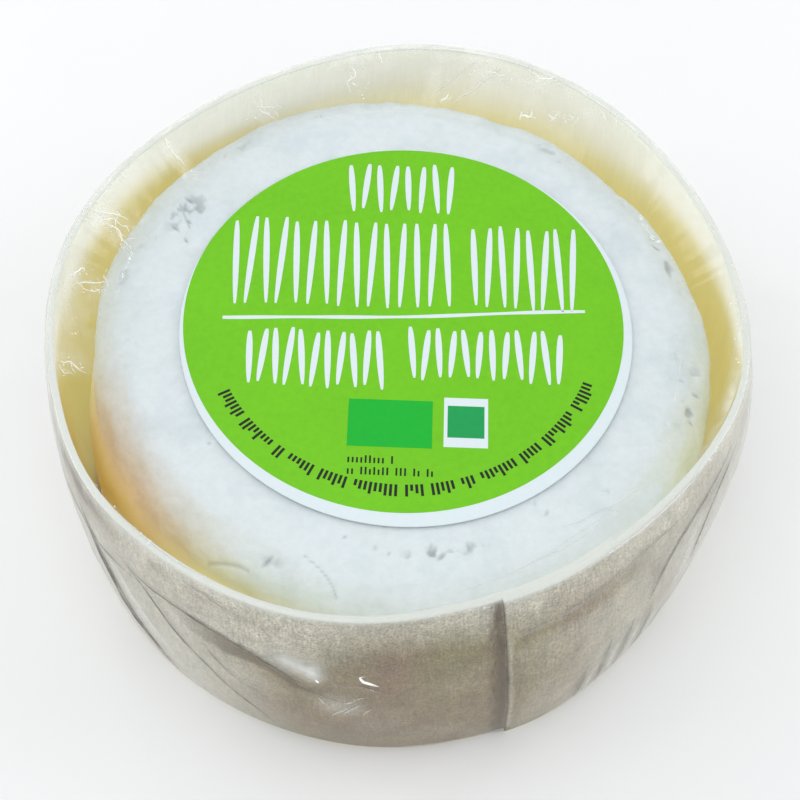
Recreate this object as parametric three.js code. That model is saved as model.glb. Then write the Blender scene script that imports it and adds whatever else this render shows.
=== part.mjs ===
// A small soft-ripened cheese wheel in its round veneer box, under clear film with a paper label.
// Millimetres, +Z up, +Y to the back. The origin is the middle of the box's foot, on the table.
// A bent strip of veneer, lapped at the front right, makes the hoop. A disc closes it below, a
// little above the foot. The wheel lies on the disc, its top a few millimetres under the rim. The
// film runs up the wall, over the rim and down to the wheel, and the label lies on the film.
import * as THREE from 'three';

// ---- Driving dimensions ----
const BOX_HEIGHT = 39;
const RIM_RADIUS = 42.85;
const VENEER = 0.9;
const BASE_THICKNESS = 2.2;
const BASE_RECESS = 1.6; // from the foot up to the disc
const TOP_UNDER_RIM = 5.4; // from the rim down to the wheel's top
const WHEEL_RADIUS = 39.9;
const LABEL_RADIUS = 28.6;
const FILM = 0.15;
const PAPER = 0.2;
const GAP = 0.12; // between pieces that lie on each other
const SIDE_GAP = 0.3; // round the disc and the wheel

// ---- How far the hand-made box is from a true cylinder, as shares of its radius ----
const BELLY = 0.0388; // swell at half height
const FOOT_TURN_IN = 0.006;
const OVAL = 0.0226; // longer towards the back right and the front left
const EGG = -0.0064;
const SQUARE = 0.0163;
const SQUARE_TURN = THREE.MathUtils.degToRad(-14.4);
const SHAPE_AT_FOOT = 0.4; // the disc holds the foot rounder than the rim
const LEAN = new THREE.Vector2(0.6, -0.37); // the foot's centre from the rim's
const CENTRE = new THREE.Vector2(-0.23, -0.21); // the axis at half height; it centres the outline

// Where the hand-bent strip stands out or in: the middle of the place and its reach, in degrees
// round the axis, and how far it stands out at the foot, at half height and at the rim.
const BENDS = [
  { at: 217, reach: 15, out: [0.4, 0.3, 1.1] },
  { at: 252, reach: 14, out: [-0.2, 0, 0.1] },
  { at: 294.5, reach: 14, out: [0.75, 0.6, 0.5] },
  { at: 325, reach: 12, out: [0, -0.2, -0.25] },
  { at: 349, reach: 10, out: [0, 0.85, 0.35] },
];

// ---- The lap, where the strip's outer end lies over its inner end ----
const SEAM = THREE.MathUtils.degToRad(-72);
const SEAM_SLANT = THREE.MathUtils.degToRad(3); // the cut end leans this far by the foot
const LAP = THREE.MathUtils.degToRad(20);
const LAP_STEP = 0.45; // the ends are shaved, so the strip thickens by less than itself
const LAP_EASE = THREE.MathUtils.degToRad(22); // the under layer moves in over this angle
const CUT = THREE.MathUtils.degToRad(0.15); // the angle that a cut end's face takes
const FILM_TENT = THREE.MathUtils.degToRad(8); // the film bridges a step over this angle

// ---- The wheel and what lies on it ----
const WHEEL_CENTRE = new THREE.Vector2(0.16, -0.06);
const WHEEL_OVAL = 0.025;
const WHEEL_LONG_WAY = THREE.MathUtils.degToRad(123);
const SHOULDER = 6;
const SHOULDER_DROP = 4.8;
const HEEL = 4; // the rounding at the bottom edge
const RIND_WAVE = 0.28;
const PRESSED_FLAT = 27; // the film and label press the top smooth inside this radius
const FILM_LANDING = 35.5; // where the film meets the wheel's top
const FILM_HEM = 0.5; // its lower edge, above the table
const LABEL_CENTRE = new THREE.Vector2(0.61, 0.1);

const STATIONS = 84; // steps round every piece
const TURN = 2 * Math.PI;

const WHEEL_TOP = BOX_HEIGHT - TOP_UNDER_RIM;
const BASE_TOP = BASE_RECESS + BASE_THICKNESS;
const FILM_FLOOR = WHEEL_TOP + RIND_WAVE;
const LABEL_FLOOR = FILM_FLOOR + FILM + GAP;

const { lerp, smoothstep, clamp, degToRad } = THREE.MathUtils;

// ---- The hoop's wall ----

const heightShare = (z) => clamp(z / BOX_HEIGHT, 0, 1);

// The angle from the seam, counted anticlockwise, between -half a turn and half a turn.
function fromSeam(angle, z) {
  const a = angle - SEAM - SEAM_SLANT * (1 - heightShare(z));
  return a - TURN * Math.round(a / TURN);
}

// How far the wall stands out at a place: each bend is a bell round the axis, and a parabola
// through its three values up the wall.
function bent(angle, u) {
  return BENDS.reduce((sum, { at, reach, out: [foot, middle, rim] }) => {
    const away = angle - degToRad(at);
    const turned = (away - TURN * Math.round(away / TURN)) / degToRad(reach);
    const high = foot * (1 - u) * (1 - 2 * u) + 4 * middle * u * (1 - u) + rim * u * (2 * u - 1);
    return sum + high * Math.exp(-(turned ** 2));
  }, 0);
}

// The bellied, slightly oval and squared wall with its bends, before the lap.
function plainWall(angle, z) {
  const u = heightShare(z);
  const belly = 4 * BELLY * u * (1 - u) - FOOT_TURN_IN * (1 - u) ** 1.6;
  const outOfRound = OVAL * Math.sin(2 * angle) + EGG * Math.sin(3 * angle)
    + SQUARE * Math.cos(4 * (angle - SQUARE_TURN));
  const round = RIM_RADIUS * (1 + belly) * (1 + lerp(SHAPE_AT_FOOT, 1, u) * outOfRound);
  return round + bent(angle, u);
}

// Left of the seam the strip moves in, to pass under its outer end.
const underLayer = (a) => smoothstep(a, -LAP_EASE, 0);

function outerWall(angle, z) {
  const a = fromSeam(angle, z);
  return plainWall(angle, z) - (a < 0 ? LAP_STEP * underLayer(a) : 0);
}

function innerWall(angle, z) {
  const a = fromSeam(angle, z);
  return plainWall(angle, z) - VENEER - (a < LAP ? LAP_STEP * underLayer(a) : 0);
}

// The same walls with each step bridged, as the film and the wheel follow them.
function bridgedOuterWall(angle, z) {
  const a = fromSeam(angle, z);
  const bridge = 1 - smoothstep(a, -FILM_TENT, -CUT);
  return plainWall(angle, z) - (a < 0 ? LAP_STEP * underLayer(a) * bridge : 0);
}

function bridgedInnerWall(angle, z) {
  const a = fromSeam(angle, z);
  const bridge = 1 - smoothstep(a, LAP + 2 * CUT, LAP + FILM_TENT);
  return plainWall(angle, z) - VENEER - LAP_STEP * underLayer(a) * bridge;
}

// Where the box's leaning axis is at a height.
const axisAt = (z) => CENTRE.clone().addScaledVector(LEAN, 0.5 - heightShare(z));

// A point of the box at an angle and a radius from that axis.
function boxPoint(angle, radius, z) {
  const axis = axisAt(z);
  return [axis.x + radius * Math.cos(angle), axis.y + radius * Math.sin(angle), z];
}

// ---- Closed bodies from sections that stand round the axis ----

function bodyFrom(points, triangles) {
  const geometry = new THREE.BufferGeometry();
  geometry.setAttribute('position', new THREE.Float32BufferAttribute(points.flat(), 3));
  geometry.setIndex(triangles);
  geometry.computeVertexNormals();
  return geometry;
}

// A ring: each section is a closed outline, anticlockwise with the axis on its left.
function ringBody(sections) {
  const rows = sections[0].length;
  const triangles = [];
  sections.forEach((_, i) => {
    const here = i * rows;
    const next = ((i + 1) % sections.length) * rows;
    for (let j = 0; j < rows; j += 1) {
      const k = (j + 1) % rows;
      triangles.push(here + j, next + j, next + k, here + j, next + k, here + k);
    }
  });
  return bodyFrom(sections.flat(), triangles);
}

// A body that closes on the axis: each section runs outwards from the first pole and back in
// to the last one.
function poleBody(sections, firstPole, lastPole) {
  const rows = sections[0].length;
  const first = sections.length * rows;
  const last = first + 1;
  const triangles = [];
  sections.forEach((_, i) => {
    const here = i * rows;
    const next = ((i + 1) % sections.length) * rows;
    triangles.push(first, next, here);
    for (let j = 0; j < rows - 1; j += 1) {
      triangles.push(here + j, next + j, next + j + 1, here + j, next + j + 1, here + j + 1);
    }
    triangles.push(here + rows - 1, next + rows - 1, last);
  });
  return bodyFrom([...sections.flat(), firstPole, lastPole], triangles);
}

// A station's angle at a height: the stations turn with the seam's slant, along the cut ends.
const slanted = (angle, z) => angle + SEAM_SLANT * (1 - heightShare(z));

// Even steps round the axis from the seam on.
const evenStations = Array.from({ length: STATIONS }, (_, i) => SEAM + (TURN * i) / STATIONS);

// The strip's steps, with a close pair at each of its cut ends.
function stripStations() {
  const cuts = [SEAM, SEAM + LAP];
  const clear = evenStations.filter((a) => cuts.every((cut) => Math.abs(a - cut) > 4 * CUT));
  const pairs = cuts.flatMap((cut) => [cut - CUT, cut]);
  return [...clear, ...pairs].sort((a, b) => a - b);
}

// ---- The pieces ----

// The strip of veneer: outer wall up, rounded rim, inner wall down.
function hoopGeometry() {
  const rounding = 0.25;
  const wallHeights = [0, 6, 12.5, 20, 27.5, 33.5, BOX_HEIGHT - rounding];
  const wallPoint = (wall, station, z) => {
    const angle = slanted(station, z);
    return boxPoint(angle, wall(angle, z), z);
  };
  const section = (station) => [
    ...wallHeights.map((z) => wallPoint(outerWall, station, z)),
    boxPoint(station, outerWall(station, BOX_HEIGHT) - rounding, BOX_HEIGHT),
    boxPoint(station, innerWall(station, BOX_HEIGHT) + rounding, BOX_HEIGHT),
    ...wallHeights.toReversed().map((z) => wallPoint(innerWall, station, z)),
  ];
  return ringBody(stripStations().map(section));
}

// The disc that closes the box, cut to the inside of the hoop.
function baseGeometry() {
  const section = (angle) => {
    const radius = bridgedInnerWall(angle, BASE_RECESS) - SIDE_GAP;
    return [boxPoint(angle, radius, BASE_RECESS), boxPoint(angle, radius, BASE_TOP)];
  };
  return poleBody(
    evenStations.map(section),
    boxPoint(0, 0, BASE_RECESS),
    boxPoint(0, 0, BASE_TOP),
  );
}

// The rind's soft unevenness, a sum of waves round the wheel and across its edge, which the film
// and label press flat in the middle.
function rindWave(angle, radius, z) {
  const round = Math.sin(7 * angle + 0.6) + 0.8 * Math.sin(13 * angle - 0.24 * z + 2)
    + 0.7 * Math.sin(4 * angle + 0.35 * radius);
  return 0.4 * RIND_WAVE * round * smoothstep(radius, PRESSED_FLAT, WHEEL_RADIUS - SHOULDER / 2);
}

// A point of the wheel, kept inside the box's wall.
function wheelPoint(angle, radius, z) {
  const oval = WHEEL_OVAL * Math.cos(2 * (angle - WHEEL_LONG_WAY)) * (radius / WHEEL_RADIUS);
  const reach = radius * (1 + oval);
  const wave = rindWave(angle, radius, z);
  const free = new THREE.Vector2(Math.cos(angle), Math.sin(angle))
    .multiplyScalar(reach + wave).add(WHEEL_CENTRE).sub(axisAt(z));
  free.clampLength(0, bridgedInnerWall(free.angle(), z) - SIDE_GAP);
  const isTop = smoothstep(z, WHEEL_TOP - 1.5, WHEEL_TOP);
  const place = free.add(axisAt(z));
  return [place.x, place.y, z + wave * isTop];
}

function wheelGeometry() {
  const bottom = BASE_TOP + GAP;
  const arc = (count, from, to) => Array.from(
    { length: count },
    (_, i) => lerp(from, to, i / (count - 1)),
  );
  // Quarter turns of an ellipse round off both edges.
  const heel = arc(5, -Math.PI / 2, 0).map((t) => [
    WHEEL_RADIUS - HEEL * (1 - Math.cos(t)),
    bottom + HEEL * (1 + Math.sin(t)),
  ]);
  const shoulder = arc(7, 0, Math.PI / 2).map((t) => [
    WHEEL_RADIUS - SHOULDER * (1 - Math.cos(t)),
    WHEEL_TOP - SHOULDER_DROP * (1 - Math.sin(t)),
  ]);
  const side = arc(5, bottom + HEEL, WHEEL_TOP - SHOULDER_DROP).slice(1, -1)
    .map((z) => [WHEEL_RADIUS, z]);
  const top = [31.5, 28.5, 22].map((radius) => [radius, WHEEL_TOP]);
  const profile = [...heel, ...side, ...shoulder, ...top];
  const section = (angle) => profile.map(([radius, z]) => wheelPoint(angle, radius, z));
  const middle = (z) => [WHEEL_CENTRE.x, WHEEL_CENTRE.y, z];
  return poleBody(
    evenStations.map(section),
    middle(bottom),
    middle(WHEEL_TOP),
  );
}

// The film, as a cap open at the foot. From the hem its outside runs up the wall, over the rim,
// down to the wheel and across it; its inside runs back the same way, one film lower.
function filmGeometry() {
  const wallHeights = [FILM_HEM, 7, 14, 21, 28, 34, BOX_HEIGHT - 0.3];
  const skin = (station, out) => {
    const top = BOX_HEIGHT + GAP + out;
    const landing = FILM_FLOOR + out;
    const rimOut = bridgedOuterWall(station, BOX_HEIGHT) + out;
    const rimIn = bridgedInnerWall(station, BOX_HEIGHT) - GAP;
    const wall = wallHeights.map((z) => {
      const angle = slanted(station, z);
      return boxPoint(angle, bridgedOuterWall(angle, z) + GAP + out, z);
    });
    return [
      ...wall,
      boxPoint(station, rimOut - 0.2, top),
      boxPoint(station, rimIn, top),
      boxPoint(station, lerp(rimIn, FILM_LANDING, 0.55), lerp(top, landing, 0.6)),
      boxPoint(station, FILM_LANDING, landing),
    ];
  };
  const section = (station) => [...skin(station, 0).toReversed(), ...skin(station, FILM)];
  return poleBody(
    evenStations.map(section),
    boxPoint(0, 0, FILM_FLOOR),
    boxPoint(0, 0, FILM_FLOOR + FILM),
  );
}

function labelGeometry() {
  const section = (angle) => {
    const x = LABEL_CENTRE.x + LABEL_RADIUS * Math.cos(angle);
    const y = LABEL_CENTRE.y + LABEL_RADIUS * Math.sin(angle);
    return [[x, y, LABEL_FLOOR], [x, y, LABEL_FLOOR + PAPER]];
  };
  const middle = (z) => [LABEL_CENTRE.x, LABEL_CENTRE.y, z];
  return poleBody(
    evenStations.map(section),
    middle(LABEL_FLOOR),
    middle(LABEL_FLOOR + PAPER),
  );
}

// ---- Finishes ----

const veneerFinish = new THREE.MeshStandardMaterial({ color: 0xd3c8ac, roughness: 0.7 });
const rindFinish = new THREE.MeshStandardMaterial({ color: 0xe6ebee, roughness: 0.75 });
const filmFinish = new THREE.MeshStandardMaterial({
  color: 0xf4f8fa, roughness: 0.08, transparent: true, opacity: 0.2,
});
const labelFinish = new THREE.MeshStandardMaterial({ color: 0x7bcf2c, roughness: 0.55 });

function piece(name, geometry, finish) {
  const mesh = new THREE.Mesh(geometry, finish);
  mesh.name = name;
  return mesh;
}

const boxedCheese = new THREE.Group();
boxedCheese.add(
  piece('box_hoop', hoopGeometry(), veneerFinish),
  piece('box_base', baseGeometry(), veneerFinish),
  piece('cheese_wheel', wheelGeometry(), rindFinish),
  piece('film_wrap', filmGeometry(), filmFinish),
  piece('label', labelGeometry(), labelFinish),
);

export default boxedCheese;
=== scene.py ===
"""A small soft cheese in its round veneer box, under clear film with a paper label.

The packed model is the fixed frame. Every piece here is a surface worked out with numpy in that
frame, in metres, +Z up, with the front along -Y.
"""

import math

import bpy
import numpy as np
from bpy.props import FloatProperty, FloatVectorProperty, IntProperty, PointerProperty
from mathutils import Matrix, Vector


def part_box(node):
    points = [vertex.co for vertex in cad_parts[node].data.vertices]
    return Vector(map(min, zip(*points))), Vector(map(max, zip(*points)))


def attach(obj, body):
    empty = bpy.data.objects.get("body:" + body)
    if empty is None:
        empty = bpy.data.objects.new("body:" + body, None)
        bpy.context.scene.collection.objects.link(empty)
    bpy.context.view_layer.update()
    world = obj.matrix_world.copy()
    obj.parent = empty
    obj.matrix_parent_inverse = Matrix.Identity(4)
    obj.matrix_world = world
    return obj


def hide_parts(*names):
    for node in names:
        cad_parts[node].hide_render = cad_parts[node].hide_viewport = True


bl_info = {
    "name": "Boxed Soft Cheese",
    "version": (1, 0, 0),
    "blender": (4, 5, 0),
    "location": "View3D > Sidebar > Boxed Cheese",
    "description": "Wood, rind, film, label and stage for a small cheese in its round box",
    "category": "Object",
}

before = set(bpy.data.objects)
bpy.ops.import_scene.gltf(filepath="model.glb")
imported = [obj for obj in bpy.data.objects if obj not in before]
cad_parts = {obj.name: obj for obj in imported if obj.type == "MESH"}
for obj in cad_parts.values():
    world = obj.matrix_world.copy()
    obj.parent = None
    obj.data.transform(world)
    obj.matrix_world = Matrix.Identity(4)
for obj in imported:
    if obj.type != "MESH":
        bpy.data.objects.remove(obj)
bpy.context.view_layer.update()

MM = 0.001
TURN = 2 * math.pi
DEGREE = math.pi / 180

# Heights and centres that the packed model gives.
RIM_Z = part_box("box_hoop")[1].z
BASE_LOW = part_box("box_base")[0].z
BASE_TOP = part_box("box_base")[1].z
WHEEL_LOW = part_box("cheese_wheel")[0].z
LABEL_LOW, LABEL_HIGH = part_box("label")
LABEL_CENTRE = (LABEL_LOW + LABEL_HIGH) / 2
LABEL_RADIUS = (LABEL_HIGH.x - LABEL_LOW.x) / 2


# ---- Sizes and colours that a user would change ----


def length(name, description, default):
    return FloatProperty(name=name, description=description, default=default, unit="LENGTH")


def turn(name, description, degrees):
    return FloatProperty(
        name=name, description=description, default=degrees * DEGREE, unit="ROTATION"
    )


def share(name, description, default):
    return FloatProperty(name=name, description=description, default=default)


def place(name, description, x, y):
    return FloatVectorProperty(
        name=name, description=description, default=(x * MM, y * MM), size=2, unit="LENGTH"
    )


def colour(name, description, red, green, blue):
    """A colour property. The defaults are written as sRGB, from 0 to 255."""
    linear = [((c / 255 + 0.055) / 1.055) ** 2.4 for c in (red, green, blue)]
    return FloatVectorProperty(
        name=name, description=description, default=(*linear, 1.0), size=4,
        subtype="COLOR", min=0, max=1,
    )


class BoxSizes(bpy.types.PropertyGroup):
    """The veneer box: how far it is from a true cylinder, its lap and its wood."""

    rim_radius: length("Rim radius", "Mean outside radius at the rim", 42.85 * MM)
    veneer: length("Veneer", "Thickness of the strip", 0.9 * MM)
    belly: share("Belly", "Swell at half height, as a share of the radius", 0.0388)
    foot_turn_in: share("Foot turn-in", "How far the foot turns in", 0.006)
    oval: share("Oval", "Longer towards the back right and the front left", 0.0226)
    egg: share("Egg", "Three-sided share of the outline", -0.0064)
    square: share("Square", "Four-sided share of the outline", 0.0163)
    square_turn: turn("Square turn", "Angle of the four-sided share", -14.4)
    shape_at_foot: share("Shape at foot", "How much of the out-of-round is left below", 0.4)
    lean: place("Lean", "The foot's centre from the rim's", 0.6, -0.37)
    centre: place("Centre", "The axis at half height", -0.23, -0.21)
    seam: turn("Seam", "Where the strip's outer end lies", -72)
    seam_slant: turn("Seam slant", "How far the cut end leans by the foot", 3)
    lap: turn("Lap", "How far the ends overlap", 20)
    lap_step: length("Lap step", "How far the under layer moves in", 0.45 * MM)
    lap_ease: turn("Lap ease", "The angle over which it moves in", 22)
    outside: colour("Outside", "Weathered beige of the outer face", 151, 134, 97)
    outside_warm: colour("Outside, warm", "Pinkish brown patches", 145, 119, 92)
    outside_green: colour("Outside, green", "Greenish patches", 146, 136, 95)
    # Pale: painted light and painted film sheen on the outer wall, at the sides, under the rim and
    # right of the lap.
    pale: colour("Pale", "Paler wood at the sides and under the rim", 212, 206, 188)
    # Damp: olive wood where the film presses it, also used as painted shade high at the front left.
    damp: colour("Damp", "Olive wood that the film presses flat", 108, 90, 50)
    stain: colour("Stain", "Damp brown beside the lap", 84, 58, 12)
    inside: colour("Inside", "Cream of the inner face", 229, 227, 216)
    # Amber: fat stain on the inner wall, with painted warm shade of the deep gap beside the cheese.
    amber: colour("Amber", "Fat-stained wood beside the cheese", 220, 209, 150)
    # Mustard: soaked wood with painted shade where the gap beside the wheel is deep.
    mustard: colour("Mustard", "The same wood where it is soaked", 214, 156, 8)
    # Painted glow: emission that brightens the inner wall and the bare rind, standing in for the light
    # that reaches them.
    painted_glow: share("Glow", "Light that the thin stained wood and rind let through", 0.25)
    cut_edge: colour("Cut edge", "Fresh cut wood at the rim and the lap", 225, 228, 221)


class WheelSizes(bpy.types.PropertyGroup):
    """The cheese: its rounded form and the colours of its rind."""

    radius: length("Radius", "Mean radius of the side", 39.9 * MM)
    under_rim: length("Under rim", "From the rim down to the flat top", 5.4 * MM)
    centre: place("Centre", "Where the wheel lies in the box", 0.16, -0.06)
    oval: share("Oval", "Out-of-round share", 0.025)
    long_way: turn("Long way", "Direction of the longer diameter", 123)
    shoulder: length("Shoulder", "Width of the rounded top edge", 6 * MM)
    shoulder_drop: length("Shoulder drop", "Height of the rounded top edge", 4.8 * MM)
    heel: length("Heel", "Rounding of the bottom edge", 4 * MM)
    wave: length("Rind wave", "Height of the rind's soft waves", 0.28 * MM)
    bloom: colour("Bloom", "White mould of the rind", 226, 234, 237)
    bloom_shade: colour("Bloom, thin", "Where the bloom is thin", 215, 225, 229)
    bare: colour("Bare rind", "Yellow rind where the bloom has rubbed off", 226, 214, 165)
    deep_bare: colour("Bare rind, low", "Amber rind of the side", 222, 223, 172)
    # Soaked rind: mustard that is partly soak and partly painted shade of the gap at the front left.
    soaked: colour("Soaked rind", "Mustard rind that leans on the wall", 190, 180, 84)
    # Pit: painted shade, grey in the pits, cracks and crumbly hollows of the rind.
    pit: colour("Pit", "Grey inside the pits and wrinkles", 142, 150, 148)


class FilmSizes(bpy.types.PropertyGroup):
    """The clear film: where it lies and how its folds look."""

    gap: length("Gap", "Between the film and what it covers", 0.1 * MM)
    landing: length("Landing", "Radius where it meets the wheel's top", 35.5 * MM)
    lift: length("Lift", "Its height over the wheel's flat top", 0.32 * MM)
    slack: length("Slack", "Height of its loose waves", 0.12 * MM)
    # Haze: milky film; the threads, creases and fold bands also use it as painted sheen and
    # highlights.
    haze: colour("Haze", "Milky film where it is crumpled", 240, 240, 234)
    # Fold line: painted shade in the creases of the film.
    line: colour("Fold line", "Grey of a doubled fold", 90, 80, 62)


class LabelSizes(bpy.types.PropertyGroup):
    """The round paper label and its print of plain shapes."""

    field_radius: length("Field radius", "Radius of the printed disc", 27.86 * MM)
    field_centre: place("Field centre", "Centre of the print", 0.26, 1.1)
    ink: length("Ink", "How far each printed layer stands over the last", 0.012 * MM)
    paper: colour("Paper", "White of the border", 221, 232, 236)
    green: colour("Green", "Bright green field", 112, 196, 10)
    dark_green: colour("Dark green", "Left panel", 2, 178, 44)
    deep_green: colour("Deep green", "Right panel", 12, 156, 80)
    black: colour("Black", "Small marks", 22, 30, 18)


class StageSizes(bpy.types.PropertyGroup):
    """Camera, lamps and floor."""

    eye: FloatVectorProperty(
        name="Eye", description="Where the camera stands",
        default=(-0.53 * MM, -121.22 * MM, 211.94 * MM), size=3, unit="LENGTH",
    )
    look_down: turn("Look down", "Angle of the view below the horizon", 58.21)
    look_right: turn("Look right", "Angle of the view off straight ahead", 0.34)
    roll: turn("Roll", "The camera's tilt about its view", 2.35)
    lens: share("Lens", "Focal length for a 36 mm sensor, in millimetres", 76.55)
    floor_colour: colour("Floor", "Pale floor", 246, 246, 246)
    daylight: share("Daylight", "Strength of the even light", 0.77)
    softbox: share("Softbox", "Power of the large soft lamp, in watts", 1.0)
    side_lamp: share("Side lamps", "Power of the soft lamp at each side, in watts", 1.1)
    sparkle: share("Sparkle", "Power of each small lamp, in watts", 0.12)
    seed: IntProperty(name="Seed", description="Start of every random draw", default=7)


# ---- Small functions that several shapes use ----


def smoothstep(x, low, high):
    """0 below low, 1 above high, and between them t * t * (3 - 2 t)."""
    t = np.clip((x - low) / (high - low), 0.0, 1.0)
    return t * t * (3.0 - 2.0 * t)


def lerp(a, b, t):
    """a plus the share t of the way to b."""
    return a + (b - a) * t


def bell(x, width):
    """exp(-(x / width) squared), a hump of height 1."""
    return np.exp(-((x / width) ** 2))


def spot(*coordinates):
    """Coordinates of matching shapes as one array of points."""
    return np.stack(np.broadcast_arrays(*coordinates), -1)


def wrap(angle):
    """The same angle between minus and plus half a turn."""
    return angle - TURN * np.round(angle / TURN)


def noise(points, cell, seed):
    """Smooth noise from -1 to 1: random values on a cubic lattice, blended by smoothsteps."""
    values = np.random.default_rng(seed).uniform(-1.0, 1.0, 8192)
    scaled = points / cell
    low = np.floor(scaled).astype(np.int64)
    t = scaled - low
    t = t * t * (3.0 - 2.0 * t)
    total = np.zeros(points.shape[:-1])
    for corner in np.ndindex(2, 2, 2):
        at = low + np.array(corner)
        key = (at[..., 0] * 73856093) ^ (at[..., 1] * 19349663) ^ (at[..., 2] * 83492791)
        weight = np.prod(np.where(np.array(corner) == 1, t, 1.0 - t), axis=-1)
        total += weight * values[key % len(values)]
    return total


def rough(points, cell, seed, octaves=3):
    """A sum of noises, each half as wide and half as strong as the last."""
    return sum(noise(points, cell / 2**k, seed + k) / 2**k for k in range(octaves))


# ---- The box's walls ----


def height_share(z):
    return np.clip(z / RIM_Z, 0.0, 1.0)


# Where the hand-bent strip stands out or in: the middle of the place and its reach in degrees,
# and how far it stands out at the foot, at half height and at the rim in millimetres.
BENDS = (
    (217, 15, 0.4, 0.3, 1.1), (252, 14, -0.2, 0, 0.1), (294.5, 14, 0.75, 0.6, 0.5),
    (325, 12, 0, -0.2, -0.25), (349, 10, 0, 0.85, 0.35),
)


def bent(angle, u):
    """The sum of the bends: a bell round the axis times the parabola through the three values."""
    total = 0.0 * angle * u
    for at, reach, foot, middle, rim in BENDS:
        high = foot * (1 - u) * (1 - 2 * u) + 4 * middle * u * (1 - u) + rim * u * (2 * u - 1)
        total = total + high * MM * bell(wrap(angle - at * DEGREE), reach * DEGREE)
    return total


def plain_wall(box, angle, z):
    """The outer radius before the lap: the rim radius, swollen by 4 u (1 - u) at height share
    u, turned in at the foot, times one plus the sines of two, three and four times the angle,
    plus the bends."""
    u = height_share(z)
    belly = 4 * box.belly * u * (1 - u) - box.foot_turn_in * (1 - u) ** 1.6
    out_of_round = (
        box.oval * np.sin(2 * angle)
        + box.egg * np.sin(3 * angle)
        + box.square * np.cos(4 * (angle - box.square_turn))
    )
    round_wall = box.rim_radius * (1 + belly) * (1 + lerp(box.shape_at_foot, 1, u) * out_of_round)
    return round_wall + bent(angle, u)


def slanted(box, station, z):
    """A station's angle at a height: the stations lean with the seam."""
    return station + box.seam_slant * (1 - height_share(z))


def from_seam(box, angle, z):
    return wrap(angle - box.seam - box.seam_slant * (1 - height_share(z)))


def under_layer(box, a):
    """Left of the seam the strip moves in, to pass under its outer end."""
    return smoothstep(a, -box.lap_ease, 0.0)


def bridged_outer(box, angle, z):
    """The outer wall with its step bridged, as the film follows it."""
    a = from_seam(box, angle, z)
    bridge = 1 - smoothstep(a, -8 * DEGREE, -0.15 * DEGREE)
    step = np.where(a < 0, box.lap_step * under_layer(box, a), 0)
    return plain_wall(box, angle, z) - step * bridge


def bridged_inner(box, angle, z):
    """The inner wall with its step bridged."""
    a = from_seam(box, angle, z)
    bridge = 1 - smoothstep(a, box.lap + 0.3 * DEGREE, box.lap + 8 * DEGREE)
    return plain_wall(box, angle, z) - box.veneer - box.lap_step * under_layer(box, a) * bridge


def axis_at(box, z):
    """The middle of the leaning box at a height, as x and y."""
    u = height_share(z)
    return box.centre[0] + box.lean[0] * (0.5 - u), box.centre[1] + box.lean[1] * (0.5 - u)


def box_point(box, angle, radius, z):
    x, y = axis_at(box, z)
    return spot(x + radius * np.cos(angle), y + radius * np.sin(angle), z + 0 * radius)


# ---- Meshes from arrays ----


def volume_sign(points, quads):
    """The sign of the volume that the quads enclose, from the sum of their tetrahedra."""
    a, b, c, d = (points[quads[:, k]] for k in range(4))
    return np.sign(
        (np.cross(a, b) * c).sum() + (np.cross(a, c) * d).sum()
    )


def put_mesh(name, points, polygons, uv=None, masks=None, material_of=None, sharp=None):
    """A piece from points (n x 3) and a list of polygon arrays, the quads first. uv gives each
    list's corner coordinates, masks named numbers for each point, and material_of an index for
    each polygon."""
    mesh = bpy.data.meshes.new(name)
    if volume_sign(points, polygons[0]) < 0:
        polygons = [p[:, ::-1] for p in polygons]
        uv = uv and [c[:, ::-1] for c in uv]
    corners = np.concatenate([p.ravel() for p in polygons])
    counts = np.concatenate([np.full(len(p), p.shape[1]) for p in polygons])
    starts = np.concatenate([[0], np.cumsum(counts)[:-1]])
    mesh.vertices.add(len(points))
    mesh.vertices.foreach_set("co", points.astype(np.float32).ravel())
    mesh.loops.add(len(corners))
    mesh.loops.foreach_set("vertex_index", corners.astype(np.int32))
    mesh.polygons.add(len(starts))
    mesh.polygons.foreach_set("loop_start", starts.astype(np.int32))
    if uv:
        layer = mesh.uv_layers.new(name="UVMap")
        flat = np.concatenate([c.reshape(-1, 2) for c in uv])
        layer.uv.foreach_set("vector", flat.astype(np.float32).ravel())
    for mask, values in (masks or {}).items():
        attribute = mesh.attributes.new(mask, "FLOAT", "POINT")
        attribute.data.foreach_set("value", np.asarray(values, np.float32).ravel())
    if material_of is not None:
        mesh.polygons.foreach_set("material_index", material_of.astype(np.int32))
    mesh.update(calc_edges=True)
    mesh.shade_smooth()
    if sharp:
        mesh.set_sharp_from_angle(angle=sharp)
    piece = bpy.data.objects.new(name, mesh)
    bpy.context.scene.collection.objects.link(piece)
    return piece


def wrapped_grid(rows, columns, close_rows):
    """Quads of a grid whose columns close on themselves, and whose rows do if asked."""
    index = np.arange(rows * columns).reshape(rows, columns)
    if close_rows:
        index = np.vstack([index, index[:1]])
    index = np.hstack([index, index[:, :1]])
    corners = (index[:-1, :-1], index[:-1, 1:], index[1:, 1:], index[1:, :-1])
    return np.stack(corners, -1).reshape(-1, 4)


def grid_uv(u, v):
    """Corner coordinates for wrapped_grid's quads: u and v have a row and a column more."""
    both = np.stack(np.broadcast_arrays(u, v), -1)
    corners = (both[:-1, :-1], both[:-1, 1:], both[1:, 1:], both[1:, :-1])
    return np.stack(corners, -2).reshape(-1, 4, 2)


def pole_fans(rows, columns):
    """Triangles that close the first and the last row of a grid on two more points."""
    first, last = rows * columns, rows * columns + 1
    here = np.arange(columns)
    after = (here + 1) % columns
    low = (rows - 1) * columns
    top = np.stack([np.full(columns, first), after, here], -1)
    bottom = np.stack([np.full(columns, last), low + here, low + after], -1)
    return np.vstack([top, bottom])


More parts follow.
